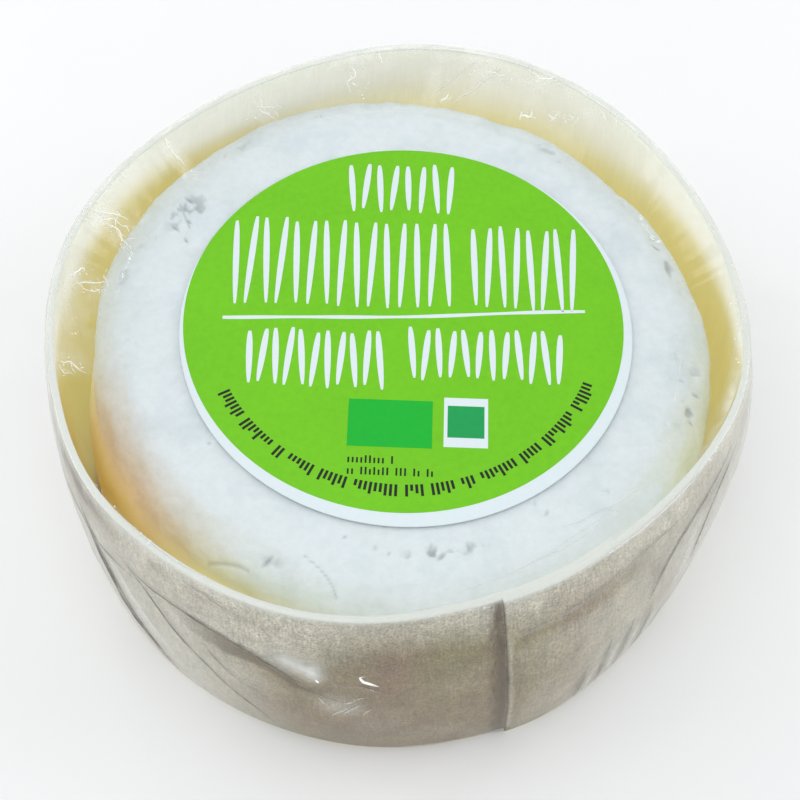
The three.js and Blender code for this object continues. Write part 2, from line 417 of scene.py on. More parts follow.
def put_capped(name, points, middle, **settings):
    """A piece from rows of points round an axis, closed at the first and the last row on the
    two middle points."""
    rows, columns = points.shape[:2]
    polygons = [wrapped_grid(rows, columns, False), pole_fans(rows, columns)]
    return put_mesh(name, np.vstack([points.reshape(-1, 3), middle]), polygons, **settings)


def tube_polygons(tubes, steps, around):
    """Quads along many tubes, and the polygons that close their ends."""
    index = np.arange(tubes * steps * around).reshape(tubes, steps, around)
    ring = np.concatenate([index, index[..., :1]], -1)
    corners = (ring[:, :-1, :-1], ring[:, :-1, 1:], ring[:, 1:, 1:], ring[:, 1:, :-1])
    quads = np.stack(corners, -1).reshape(-1, 4)
    return [quads, index[:, 0, ::-1], index[:, -1, :]]


# ---- Shader nodes ----


def set_inputs(tree, made, inputs):
    """Sets a node's sockets, by name or number, to values or to other nodes' sockets."""
    for key, value in inputs.items():
        if isinstance(value, bpy.types.NodeSocket):
            tree.links.new(value, made.inputs[key])
        else:
            made.inputs[key].default_value = value


def node(tree, kind, inputs=None, **settings):
    """Adds a node of a kind with its settings and inputs."""
    made = tree.nodes.new("ShaderNode" + kind)
    for key, value in settings.items():
        setattr(made, key, value)
    set_inputs(tree, made, inputs or {})
    return made


def math_node(tree, operation, *values, clamp=False):
    made = node(tree, "Math", dict(enumerate(values)), operation=operation, use_clamp=clamp)
    return made.outputs[0]


def mix_colours(tree, factor, a, b, blend="MIX"):
    made = node(tree, "Mix", {0: factor, 6: a, 7: b}, data_type="RGBA", blend_type=blend)
    return made.outputs[2]


def in_range(tree, value, low, high, to_low=0.0, to_high=1.0):
    made = node(tree, "MapRange", {0: value, 1: low, 2: high, 3: to_low, 4: to_high})
    return made.outputs[0]


def mask_of(tree, name):
    return node(tree, "Attribute", attribute_name=name).outputs["Fac"]


def group(name, inputs, outputs, fill):
    """A shader node group, made once. inputs and outputs map names to socket types or to
    defaults, and fill(tree, inputs, outputs) adds its nodes."""
    made = bpy.data.node_groups.get(name)
    if made:
        return made
    made = bpy.data.node_groups.new(name, "ShaderNodeTree")
    for key, default in inputs.items():
        kind = "NodeSocketVector" if default is None else "NodeSocketFloat"
        socket = made.interface.new_socket(key, in_out="INPUT", socket_type=kind)
        if default is not None:
            socket.default_value = default
    for key in outputs:
        made.interface.new_socket(key, in_out="OUTPUT", socket_type="NodeSocketFloat")
    entry = made.nodes.new("NodeGroupInput")
    leave = made.nodes.new("NodeGroupOutput")
    fill(made, entry.outputs, leave.inputs)
    return made


def use_group(tree, made, inputs):
    placed = tree.nodes.new("ShaderNodeGroup")
    placed.node_tree = made
    set_inputs(tree, placed, inputs)
    return placed.outputs


def fill_fibre(tree, inside, out):
    """Long thin streaks along the second coordinate, over broader and fainter ones."""
    split = node(tree, "SeparateXYZ", {0: inside["Place"]})

    def streaks(width_times, length_times, detail):
        across = math_node(tree, "DIVIDE", split.outputs[0], inside["Fibre Width"])
        along = math_node(tree, "DIVIDE", split.outputs[1], inside["Fibre Length"])
        joined = node(tree, "CombineXYZ", {
            0: math_node(tree, "DIVIDE", across, width_times),
            1: math_node(tree, "DIVIDE", along, length_times),
            2: split.outputs[2],
        })
        picture = node(tree, "TexNoise", {
            "Vector": joined.outputs[0], "Scale": 1.0, "Detail": detail, "Roughness": 0.6,
        })
        return picture.outputs[0]

    fine = streaks(1.0, 1.0, 3.0)
    broad = streaks(7.0, 4.0, 2.0)
    both = math_node(
        tree, "ADD", math_node(tree, "MULTIPLY", fine, 0.6), math_node(tree, "MULTIPLY", broad, 0.4)
    )
    tree.links.new(in_range(tree, both, 0.3, 0.7), out["Shade"])
    tree.links.new(fine, out["Height"])


def fibre_group():
    return group(
        "Wood Fibre", {"Place": None, "Fibre Width": 0.0003, "Fibre Length": 0.006},
        ("Shade", "Height"), fill_fibre,
    )


def fill_mottle(tree, inside, out):
    """Soft cloudy patches with finer ones in them."""
    scale = math_node(tree, "DIVIDE", 1.0, inside["Patch Size"])
    picture = node(tree, "TexNoise", {
        "Vector": inside["Place"], "Scale": scale, "Detail": 4.0, "Roughness": 0.55,
        "Distortion": 0.3,
    })
    tree.links.new(in_range(tree, picture.outputs[0], 0.3, 0.7), out["Mask"])


def mottle_group():
    return group("Mottle", {"Place": None, "Patch Size": 0.004}, ("Mask",), fill_mottle)


def fresh_material(name):
    """A new material with an empty tree, its Principled shader and its output."""
    made = bpy.data.materials.new(name)
    made.use_nodes = True
    tree = made.node_tree
    tree.nodes.clear()
    surface = node(tree, "BsdfPrincipled")
    output = node(tree, "OutputMaterial", {0: surface.outputs[0]})
    return made, tree, surface, output


def bump(tree, height, distance, strength):
    made = node(tree, "Bump", {"Height": height, "Distance": distance, "Strength": strength})
    return made.outputs[0]


def object_place(tree):
    return node(tree, "TexCoord").outputs["Object"]


def uv_place(tree):
    return node(tree, "UVMap", uv_map="UVMap").outputs[0]


# ---- The veneer hoop ----

HOOP_STATIONS = 900
CUT = 0.15 * DEGREE  # reach of the close stations at each cut end
FOOT_CLEARANCE = 0.08 * MM
PATTERN_RADIUS = 43  # in millimetres, where patterns on the wall are unrolled
WALL_CLEARANCE = 0.3 * MM  # between the wall's inside and what lies in the box


def hoop_stations(box):
    """Even steps round the axis, with close stations at both cut ends of the strip."""
    even = box.seam + TURN * np.arange(HOOP_STATIONS) / HOOP_STATIONS
    cuts = np.array([box.seam, box.seam + box.lap])
    near = np.abs(even[:, None] - cuts).min(1) < 1.6 * CUT
    steps = np.array([-CUT, -0.8 * CUT, -0.2 * CUT, 0.0])
    ends = (cuts[:, None] + steps).ravel()
    ends[0:4] += TURN
    return np.sort(np.concatenate([even[~near], ends]))


def hoop_section():
    """Heights and sides of the closed section: up the outside, over the rim, down the inside.
    Gives z, the share from the outer wall (0) to the inner wall (1), and a row kind: 0 outside,
    1 rim, 2 inside."""
    rounding = 0.25 * MM
    rise = np.linspace(FOOT_CLEARANCE, RIM_Z - rounding, 62)
    over = np.linspace(0, math.pi, 13)[1:-1]
    bulge = rounding * np.sin(over) ** 0.6
    across = 0.5 - 0.5 * np.cos(over)
    fall = np.concatenate([
        np.linspace(RIM_Z - rounding, 26 * MM, 26),
        np.linspace(26 * MM, FOOT_CLEARANCE, 8)[1:],
    ])
    z = np.concatenate([rise, RIM_Z - rounding + bulge, fall])
    side = np.concatenate([0 * rise, across, 0 * fall + 1])
    kind = np.concatenate([0 * rise, 0 * over + 1, 0 * fall + 2])
    return z, side, kind


def veneer_relief(angle, z):
    """Raised fibres along the height, and the slow cockle of bent veneer."""
    arc = PATTERN_RADIUS * MM * angle
    fine = noise(spot(arc / 0.55, z / 9, 0 * z), MM, 31)
    cockle = noise(spot(arc / 9, z / 22, 0 * z + 5), MM, 32)
    return 0.022 * MM * fine + 0.07 * MM * cockle


def make_hoop(box):
    """The strip: each point is at the wall's radius for its station and height. The outer wall
    steps in left of the seam, the inner wall until the lap's end, and the cut end is ragged."""
    z, side, kind = (a[:, None] for a in hoop_section())
    station = hoop_stations(box)[None, :]
    a = wrap(station - box.seam)
    ragged_at = spot(0 * z, z / 1.4, 0 * z)
    ragged = 0.035 * DEGREE * rough(ragged_at, MM, 41) * bell(a, 0.8 * DEGREE)
    angle = slanted(box, station, z) + ragged
    plain = plain_wall(box, angle, z)
    relief = veneer_relief(angle, z) * (1 - bell(a, 0.4 * DEGREE))
    outer = plain - np.where(a < -0.1 * CUT, box.lap_step * under_layer(box, a), 0) + relief
    inner = plain - box.veneer - np.where(
        a < box.lap - 0.1 * CUT, box.lap_step * under_layer(box, a), 0
    ) + 0.6 * relief
    # Each cut end's own face lies between the last two of its close stations.
    radius = lerp(outer, inner, side)
    chips = 0.025 * MM * noise(
        spot(PATTERN_RADIUS * angle, 3 * side, 0 * angle), 0.7, 43
    )
    high = z + np.where(kind == 1, chips * np.sin(math.pi * side), 0)
    points = box_point(box, angle, radius, high)
    rows, columns = points.shape[:2]

    u = np.concatenate([station[0], [station[0, 0] + TURN]]) * PATTERN_RADIUS * MM
    v = np.concatenate([z[:, 0] + side[:, 0] * 60 * MM, [130 * MM]])
    at_rim = np.where(kind == 1, 1.0, smoothstep(z, RIM_Z - 0.5 * MM, RIM_Z - 0.2 * MM) * 0.5)
    masks = {
        "edge": at_rim + 0 * a,
        "stain": outside_stain(a, z),
        "tone": outside_tone(angle, z),
        # Painted light: paler sides and rim, and a lit strip right of the cut end.
        "pale": np.maximum(painted_light_outside(angle, z), 0.6 * bell(a, 0.9 * DEGREE) * (a > -CUT)),
        "damp": outside_damp_and_shade(angle, z),
        "amber": inside_fat_stain_and_shade(angle, z),
        "soaked": inside_soaked_and_shaded(angle, z),
    }
    return put_mesh(
        "veneer_hoop", points.reshape(-1, 3), [wrapped_grid(rows, columns, True)],
        uv=[grid_uv(u[None, :], v[:, None])], masks=masks,
        material_of=(np.repeat(kind[:, 0], columns) == 2) * 1, sharp=50 * DEGREE,
    )


def outside_stain(a, z):
    """Damp brown stain just left of the cut end, a little weaker again at the end itself."""
    width = lerp(3.5, 2.8, height_share(z) ** 3) * DEGREE
    uneven = rough(spot(120 * a, z / (2.5 * MM), 0 * a), 1.0, 51)
    band = smoothstep(a + 0.12 * width * uneven, -width, -0.45 * width) * (a <= 0)
    band = band * (1 - 0.3 * smoothstep(a, -0.3 * width, 0.0))
    return np.clip(band * (0.85 + 0.15 * uneven), 0, 1)


# Patches of the outer face: angle in degrees, height in millimetres, reach in both, and tone,
# where 1 is pinkish brown and -1 is greenish.
OUTSIDE_PATCHES = (
    (271, 27, 5, 13, 0.9),
    (266, 10, 14, 8, 0.5),
    (294, 24, 5, 8, -0.8),
    (281, 30, 6, 8, -0.5),
    (248, 29, 9, 3.5, -0.9),
    (302, 33, 6, 6, 0.5),
    (305, 22, 7, 6, 0.4),
    (262, 33, 7, 4, -0.6),
    (236, 33, 6, 5, 0.2),
)


def outside_tone(angle, z):
    """Each patch is a bell in angle and height, over slow noise all round."""
    at = spot(3 * np.cos(angle), 3 * np.sin(angle), z / (9 * MM) + 0 * angle)
    tone = 0.45 * rough(at, 1.0, 61)
    for degrees, height, reach, tall, strength in OUTSIDE_PATCHES:
        near = bell(wrap(angle - degrees * DEGREE), reach * DEGREE)
        tone = tone + strength * near * bell(z - height * MM, tall * MM)
    return tone


# How high the amber reaches up the inner wall, partly fat stain and partly painted warm shade
# of the deep gap beside the cheese: angle in degrees, and height in millimetres where it is half gone.
FAT_STAIN_AND_SHADE_HEIGHT = (
    (0, 32.0), (22, 31.4), (42, 27.8), (60, 26.2), (90, 25.2), (108, 26.0), (122, 28.8),
    (140, 31.4), (152, 32.2), (162, 31.2), (172, 29.8), (186, 29.8), (195, 33.0), (203, 43.0),
    (232, 43.0), (250, 30.0), (322, 30.0), (334, 39.8), (344, 38.8), (353, 34.5),
)


# The wedge where the film presses the wood dark: its upper and its lower edge as angle in
# degrees and height in millimetres.
WEDGE_TOP = (
    (230.7, 30.1), (236, 30.6), (239.3, 30.4), (244.9, 29.4), (249, 28.6), (253.4, 26.3),
    (256.7, 22.9), (260, 20.6), (264, 19.0),
)
WEDGE_LOW = (
    (232, 29.6), (236, 28.0), (239.2, 25.8), (242.9, 25.8), (246, 25.0), (249.6, 25.2),
    (252.5, 24.2), (256.1, 22.0), (264, 18.9),
)
# Smudges, partly painted shade: angle in degrees, height in millimetres, reach in both, and strength.
DAMP_AND_SHADE_PATCHES = (
    (233.2, 35.8, 1.5, 1.0, 0.55), (241, 35.6, 3.0, 0.7, 0.3), (241, 31.9, 3.2, 1.0, 0.3),
    (250.5, 35.2, 3.5, 0.9, 0.35), (249, 31.0, 2.4, 0.8, 0.3), (266, 31.5, 4.5, 3.0, 0.45),
    (260.5, 23.0, 3.2, 1.6, 0.5), (300.5, 29.5, 3.5, 1.3, 0.2), (312, 31.8, 4.0, 1.0, 0.15),
    (289.5, 33.5, 1.2, 3.0, 0.2), (319.5, 26.0, 2.0, 4.0, 0.5), (293, 21, 4, 5, 0.2),
    (262, 8, 4, 5, 0.3), (212, 35.5, 10, 4.5, 1.0), (222, 26.0, 2.0, 5.0, 0.3),
    (334, 29.0, 5.0, 3.0, 0.45),
)


def on_wall(angle, z, cell):
    """Places for noise on the wall, with cells of so many millimetres."""
    reach = PATTERN_RADIUS / cell
    return spot(reach * np.cos(angle), reach * np.sin(angle), z / (cell * MM))


# Painted light round the box, paler at both sides than at the front: angle in degrees, and share.
PAINTED_LIGHT_ROUND = (
    (0, 0.6), (170, 0.6), (190, 0.95), (206, 0.95), (216, 0.8), (238, 0.9), (255, 0), (282, 0),
    (304, 0.6), (324, 0.75), (334, 1), (350, 1), (360, 0.6),
)
# The lower border of the paler band of painted light at the right: angle in degrees, height in
# millimetres.
PAINTED_LIGHT_BORDER = ((288, 30.2), (300, 31.4), (312, 33.4), (319, 34.1), (330, 32.9))


def painted_light_outside(angle, z):
    """Painted light on the outer wall: paler at both sides of the front, above a border that climbs
    to the right, towards the rim where the wall turns up, and in two lit patches below the wedge."""
    degrees, high = np.degrees(angle) % 360, z / MM
    uneven = rough(on_wall(angle, z, 7), 1.0, 63, 4)
    shift = 17 * smoothstep(high, 25, 31) * smoothstep(degrees, 215, 230)
    sides = np.interp(degrees + 4 * uneven - shift, *np.array(PAINTED_LIGHT_ROUND).T)
    line = np.interp(degrees, *np.array(PAINTED_LIGHT_BORDER).T)
    band = 0.35 * smoothstep(high, line - 0.3, line + 0.4) * smoothstep(degrees, 284, 298)
    top = 0.75 * smoothstep(high, 29.5, 38.0) ** 1.4
    top = top + 0.2 * bell(degrees - 287, 9) * smoothstep(high, 29, 34)
    lit = 0.5 * bell(degrees - 247, 5) * bell(high - 20.0, 3.0)
    lit = lit + 0.5 * bell(degrees - 261.5, 3) * bell(high - 18.5, 3.5)
    return np.clip(1 - (1 - sides) * (1 - band) * (1 - top) * (1 - lit) + 0.14 * uneven, 0, 1)


def outside_damp_and_shade(angle, z):
    """The wedge, ragged along its lower edge, and the smudges, partly painted shade."""
    degrees, high = np.degrees(angle) % 360, z / MM
    uneven = rough(on_wall(angle, z, 3), 1.0, 64, 4)
    top = np.interp(degrees, *np.array(WEDGE_TOP).T)
    low = np.interp(degrees, *np.array(WEDGE_LOW).T) + 0.9 * uneven
    wedge = smoothstep(high, low - 0.7, low + 0.7) * (1 - smoothstep(high, top - 0.3, top + 0.2))
    wedge = wedge * smoothstep(degrees, 231, 248) * (1 - smoothstep(degrees, 261, 265))
    damp = wedge
    for at, height, reach, tall, strength in DAMP_AND_SHADE_PATCHES:
        near = bell(degrees - at, reach) * bell(high - height, tall)
        damp = np.maximum(damp, strength * near * (1 + 0.7 * uneven))
    return np.clip(damp, 0, 1)


def inside_fat_stain_and_shade(angle, z):
    """Amber beside the cheese, fat stain and painted shade, fading out over eight millimetres round
    the table's height.
    """
    half = np.interp(np.degrees(angle) % 360, *np.array(FAT_STAIN_AND_SHADE_HEIGHT).T, period=360)
    at = spot(5 * np.cos(angle), 5 * np.sin(angle), z / (6 * MM))
    half = (half + 0.6 * rough(at, 1.0, 71)) * MM
    return 1 - smoothstep(z, half - 4 * MM, half + 4 * MM)


def inside_soaked_and_shaded(angle, z):
    """Mustard where the wheel touches the wall at the front left, soak and painted shade of the
    narrow gap, weaker near the rim at its left end."""
    degrees = np.degrees(angle) % 360
    at = spot(7 * np.cos(angle), 7 * np.sin(angle), z / (5 * MM))
    degrees = degrees + 3 * rough(at, 1.0, 72)
    high = smoothstep(z, 34.5 * MM, 37.5 * MM) * (1 - smoothstep(degrees, 198, 208))
    return smoothstep(degrees, 184, 201) * (1 - smoothstep(degrees, 224, 236)) * (1 - 0.9 * high)


def veneer_outside(box):
    made, tree, surface, _ = fresh_material("veneer_outside")
    fibre = use_group(tree, fibre_group(), {
        "Place": uv_place(tree), "Fibre Width": 0.00024, "Fibre Length": 0.0028,
    })
    placed = object_place(tree)
    mottles = [
        use_group(tree, mottle_group(), {"Place": placed, "Patch Size": size})["Mask"]
        for size in (0.0042, 0.0011, 0.0003)
    ]
    tone = mask_of(tree, "tone")
    warm = in_range(tree, tone, 0.05, 0.8)
    green = in_range(tree, tone, -0.05, -0.8)
    colour = mix_colours(tree, warm, tuple(box.outside), tuple(box.outside_warm))
    colour = mix_colours(tree, green, colour, tuple(box.outside_green))
    # Painted light from the pale mask.
    colour = mix_colours(tree, mask_of(tree, "pale"), colour, tuple(box.pale))
    # Damp wood and painted shade.
    colour = mix_colours(tree, mask_of(tree, "damp"), colour, tuple(box.damp))
    colour = mix_colours(tree, mask_of(tree, "stain"), colour, tuple(box.stain))
    for picture, dark, light in (
        (fibre["Shade"], 0.70, 1.15), (mottles[0], 0.88, 1.09), (mottles[1], 0.86, 1.1),
        (mottles[2], 0.6, 1.32),
    ):
        shade = in_range(tree, picture, 0, 1, dark, light)
        colour = mix_colours(tree, 1.0, colour, shade, "MULTIPLY")
    colour = mix_colours(tree, mask_of(tree, "edge"), colour, tuple(box.cut_edge))
    set_inputs(tree, surface, {
        "Base Color": colour, "Roughness": 0.68,
        "Normal": bump(tree, fibre["Height"], 0.00006, 0.8),
    })
    return made


def veneer_inside(box):
    made, tree, surface, _ = fresh_material("veneer_inside")
    fibre = use_group(tree, fibre_group(), {
        "Place": uv_place(tree), "Fibre Width": 0.0003, "Fibre Length": 0.006,
    })
    # Amber near the cheese: fat stain with painted warm shade of the gap.
    colour = mix_colours(tree, mask_of(tree, "amber"), tuple(box.inside), tuple(box.amber))
    colour = mix_colours(tree, mask_of(tree, "soaked"), colour, tuple(box.mustard))
    shade = in_range(tree, fibre["Shade"], 0, 1, 0.94, 1.03)
    colour = mix_colours(tree, 1.0, colour, shade, "MULTIPLY")
    colour = mix_colours(tree, mask_of(tree, "edge"), colour, tuple(box.cut_edge))
    set_inputs(tree, surface, {
        # Painted glow: the inner wall gives off its own colour as light.
        "Base Color": colour, "Roughness": 0.6, "Emission Color": colour,
        "Emission Strength": box.painted_glow,
        "Normal": bump(tree, fibre["Height"], 0.00004, 0.6),
    })
    return made


class CHEESE_OT_hoop(bpy.types.Operator):
    """Build the bent veneer strip with its lap"""

    bl_idname = "boxed_cheese.hoop"
    bl_label = "Veneer Hoop"

    def execute(self, context):
        box = context.scene.cheese_box
        piece = make_hoop(box)
        piece.data.materials.append(veneer_outside(box))
        piece.data.materials.append(veneer_inside(box))
        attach(piece, "root")
        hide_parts("box_hoop")
        return {"FINISHED"}


# ---- The base disc ----


def make_base(box):
    """A disc to the wall's inside: rings from one face's middle over the rounded edge to the
    other's, with its grain along X as low ridges."""
    turns = TURN * np.arange(360) / 360
    edge = 0.25 * MM
    inwards = np.linspace(0.05, 1, 22)
    half = np.linspace(0, math.pi / 2, 5)
    share_out = np.concatenate([inwards, 0 * half + 1, 0 * half + 1, inwards[::-1]])
    drop = np.concatenate([0 * inwards, edge * (1 - np.cos(half)), edge * (1 - np.sin(half))])
    drop = np.concatenate([drop, 0 * inwards])
    inset = np.concatenate([
        0 * inwards + edge, edge * (1 - np.sin(half)), edge * (1 - np.cos(half)), 0 * inwards + edge,
    ])
    is_top = np.concatenate([0 * inwards, 0 * half, 0 * half + 1, 0 * inwards + 1])
    angle, s = turns[None, :], share_out[:, None]
    outer = bridged_inner(box, angle, BASE_LOW) - WALL_CLEARANCE
    radius = s * (outer - inset[:, None])
    flat = np.where(is_top[:, None] == 1, BASE_TOP - drop[:, None], BASE_LOW + drop[:, None])
    points = box_point(box, angle + 0 * radius, radius, flat + 0 * radius)
    grain = noise(spot(points[..., 0] / 9, points[..., 1] / 0.8, 0 * radius), MM, 81)
    points[..., 2] += np.where(is_top[:, None] == 1, -1, 1) * 0.02 * MM * (1 + grain)
    x, y = axis_at(box, BASE_LOW)
    middle = np.array([[x, y, BASE_LOW], [x, y, BASE_TOP]])
    return put_capped("base_disc", points, middle, sharp=60 * DEGREE)


def base_wood(box):
    made, tree, surface, _ = fresh_material("base_wood")
    placed = object_place(tree)
    turned = node(tree, "Mapping", {"Vector": placed, "Rotation": (0, 0, math.pi / 2)})
    fibre = use_group(tree, fibre_group(), {
        "Place": turned.outputs[0], "Fibre Width": 0.0004, "Fibre Length": 0.012,
    })
    cloud = use_group(tree, mottle_group(), {"Place": placed, "Patch Size": 0.009})
    colour = mix_colours(tree, cloud["Mask"], tuple(box.inside), tuple(box.outside))
    shade = in_range(tree, fibre["Shade"], 0, 1, 0.82, 1.03)
    colour = mix_colours(tree, 1.0, colour, shade, "MULTIPLY")
    set_inputs(tree, surface, {
        "Base Color": colour, "Roughness": 0.7,
        "Normal": bump(tree, fibre["Height"], 0.00006, 0.8),
    })
    return made


class CHEESE_OT_base(bpy.types.Operator):
    """Build the disc that closes the box below"""

    bl_idname = "boxed_cheese.base"
    bl_label = "Base Disc"

    def execute(self, context):
        box = context.scene.cheese_box
        piece = make_base(box)
        piece.data.materials.append(base_wood(box))
        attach(piece, "root")
        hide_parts("box_base")
        return {"FINISHED"}


# ---- The cheese ----

WHEEL_STATIONS = 900
SLUMP_AT, SLUMP_REACH = 210 * DEGREE, 24 * DEGREE  # where the wheel leans on the wall
SLUMP = 2.8 * MM

# Pits and short wrinkles of the rind: angle in degrees, radius, length and width in millimetres,
# turn from the round direction in degrees, and depth as a share of the deepest.
PITS = (
    (146, 34.6, 2.6, 0.45, 70, 1.0), (151, 32.6, 1.6, 0.4, 60, 0.9), (154, 33.6, 2.8, 0.4, 60, 0.9),
    (156, 31.2, 1.5, 0.35, 40, 0.8), (144, 33.2, 0.9, 0.3, 20, 0.5), (123, 34.7, 1.0, 0.35, 10, 0.4),
    (158, 35.1, 1.3, 0.4, 0, 0.4), (109, 37.0, 1.4, 0.4, 80, 0.5), (132, 37.0, 1.5, 0.4, 20, 0.5),
    (168, 36.6, 1.2, 0.35, 70, 0.5), (60, 36.1, 1.0, 0.35, 30, 0.5), (54, 35.1, 0.8, 0.35, 0, 0.5),
    (32, 36.7, 1.4, 0.3, 20, 0.4), (24, 36.4, 1.8, 0.35, 40, 0.8), (18, 36.7, 1.0, 0.35, 0, 0.5),
    (350, 35.7, 1.4, 0.5, 60, 0.5), (348, 37.8, 1.6, 0.5, 80, 0.7), (342, 38.2, 1.4, 0.4, 60, 0.6),
    (354, 37.6, 1.2, 0.4, 60, 0.5), (273, 32.1, 1.6, 0.6, 10, 0.6), (278, 31.1, 1.8, 0.6, 50, 0.6),
    (280, 32.4, 2.0, 0.6, 20, 0.8), (282, 31.9, 1.4, 0.5, -40, 0.6), (287, 31.7, 1.4, 0.8, 80, 0.6),
    (266, 31.2, 1.3, 0.6, 80, 0.5), (269, 31.8, 1.0, 0.5, 30, 0.5), (259, 30.4, 0.9, 0.4, 0, 0.7),
    (218, 28.9, 0.8, 0.5, 20, 0.6), (305, 31.4, 1.6, 0.5, 10, 0.55), (304, 29.6, 1.2, 0.5, 40, 0.5),
    (246, 36.2, 2.4, 0.6, 55, 0.9), (339, 35.2, 1.2, 0.3, 30, 0.35), (186, 33.5, 1.0, 0.3, 50, 0.3),
)
# Long fine cracks: three points each, as angle in degrees and radius in millimetres.
CRACKS = (
    ((235.7, 38.9), (240.4, 38.0), (243.4, 37.9)),
    ((252.3, 34.1), (257.7, 35.9), (260.2, 37.9)),
    ((148, 35.3), (150, 33.6), (152.5, 31.8)),
)


def polar(angle_degrees, radius_mm):
    return np.array([math.cos(angle_degrees * DEGREE), math.sin(angle_degrees * DEGREE)]) * (
        radius_mm * MM
    )


def curve_through(first, middle, last, steps):
    """Points of the parabola that passes through three points, at even shares."""
    t = np.linspace(0, 1, steps)[:, None]
    pull = 2 * middle - (first + last) / 2
    return (1 - t) ** 2 * first + 2 * t * (1 - t) * pull + t * t * last


def rind_wave(wheel, angle, radius, z):
    """The wheel's soft unevenness: waves of 7, 13 and 4 round it, pressed flat in the middle."""
    sines = (
        np.sin(7 * angle + 0.6)
        + 0.8 * np.sin(13 * angle - 0.24 * z / MM + 2)
        + 0.7 * np.sin(4 * angle + 0.35 * radius / MM)
    )
    return 0.4 * wheel.wave * sines * smoothstep(radius, 27 * MM, wheel.radius - wheel.shoulder / 2)


# Crumbly places: angle in degrees and radius, reach round and reach outwards in millimetres,
# and strength.
CRUMBLED = (
    (149, 33.6, 3.4, 2.2, 1.0), (281, 31.9, 4.6, 0.8, 1.0), (305, 31.9, 5.5, 1.3, 0.5),
    (21, 36.6, 5.5, 0.9, 0.8), (347, 37.4, 4.8, 1.2, 0.9), (57, 35.8, 3.2, 1.0, 0.5),
    (131, 37.0, 5.0, 1.1, 0.45), (166, 36.8, 5.5, 1.1, 0.5), (247, 36.0, 1.6, 0.8, 0.5),
    (355, 35.0, 2.4, 1.0, 0.4), (318, 34.0, 3.0, 1.0, 0.35), (107, 37.0, 4.0, 0.9, 0.35),
    (35, 36.6, 4.0, 0.9, 0.35), (187, 34.6, 3.0, 1.0, 0.3),
)


def rind_pits(x, y):
    """How deep each point of the top lies in a pit or a crack, from 0 to 1."""
    deep = np.zeros_like(x)
    for degrees, radius, long, wide, twist, depth in PITS:
        middle = polar(degrees, radius)
        way = (degrees + 90 + twist) * DEGREE
        dx, dy = x - middle[0], y - middle[1]
        along = dx * math.cos(way) + dy * math.sin(way)
        across = -dx * math.sin(way) + dy * math.cos(way)
        bend = across - 0.18 * MM * np.sin(along / (0.7 * MM))
        pit = depth * bell(along, long / 2 * MM) ** 2 * bell(bend, wide / 1.7 * MM)
        deep = np.maximum(deep, pit)
    for crack in CRACKS:
        path = curve_through(*(polar(*point) for point in crack), 90)
        gap = np.full_like(x, 1.0)
        for px, py in path:
            gap = np.minimum(gap, np.hypot(x - px, y - py))
        deep = np.maximum(deep, 0.5 * bell(gap, 0.2 * MM))
    crumbly = rough(spot(x, y, 0 * x), 1.5 * MM, 87, 3)
    angle, reach = np.arctan2(y, x), np.hypot(x, y)
    for degrees, radius, long, wide, strength in CRUMBLED:
        arc = wrap(angle - degrees * DEGREE) * radius * MM
        near = bell(arc, long * MM) * bell(reach - radius * MM, wide * MM)
        deep = np.maximum(deep, strength * near * smoothstep(crumbly, 0.1, 0.7))
    return deep


def wheel_profile(wheel, top):
    """Radius and height from the bottom's middle round to the top's: quarter ellipses at heel
    and shoulder, with close rows where the rind shows."""
    bottom = WHEEL_LOW
    heel = np.linspace(-math.pi / 2, 0, 7)
    arc = np.linspace(0, math.pi / 2, 27)
    side_z = np.linspace(bottom + wheel.heel, top - wheel.shoulder_drop, 14)[1:-1]
    under = np.linspace(4 * MM, wheel.radius - wheel.heel, 6)[:-1]
    flat = np.concatenate([
        np.linspace(wheel.radius - wheel.shoulder, 27.5 * MM, 27)[1:],
        np.linspace(27.5 * MM, 3 * MM, 7)[1:],
    ])
    radius = np.concatenate([
        under, wheel.radius - wheel.heel * (1 - np.cos(heel)), 0 * side_z + wheel.radius,
        wheel.radius - wheel.shoulder * (1 - np.cos(arc)), flat,
    ])
    z = np.concatenate([
        0 * under + bottom, bottom + wheel.heel * (1 + np.sin(heel)), side_z,
        top - wheel.shoulder_drop * (1 - np.sin(arc)), 0 * flat + top,
    ])
    return radius, z


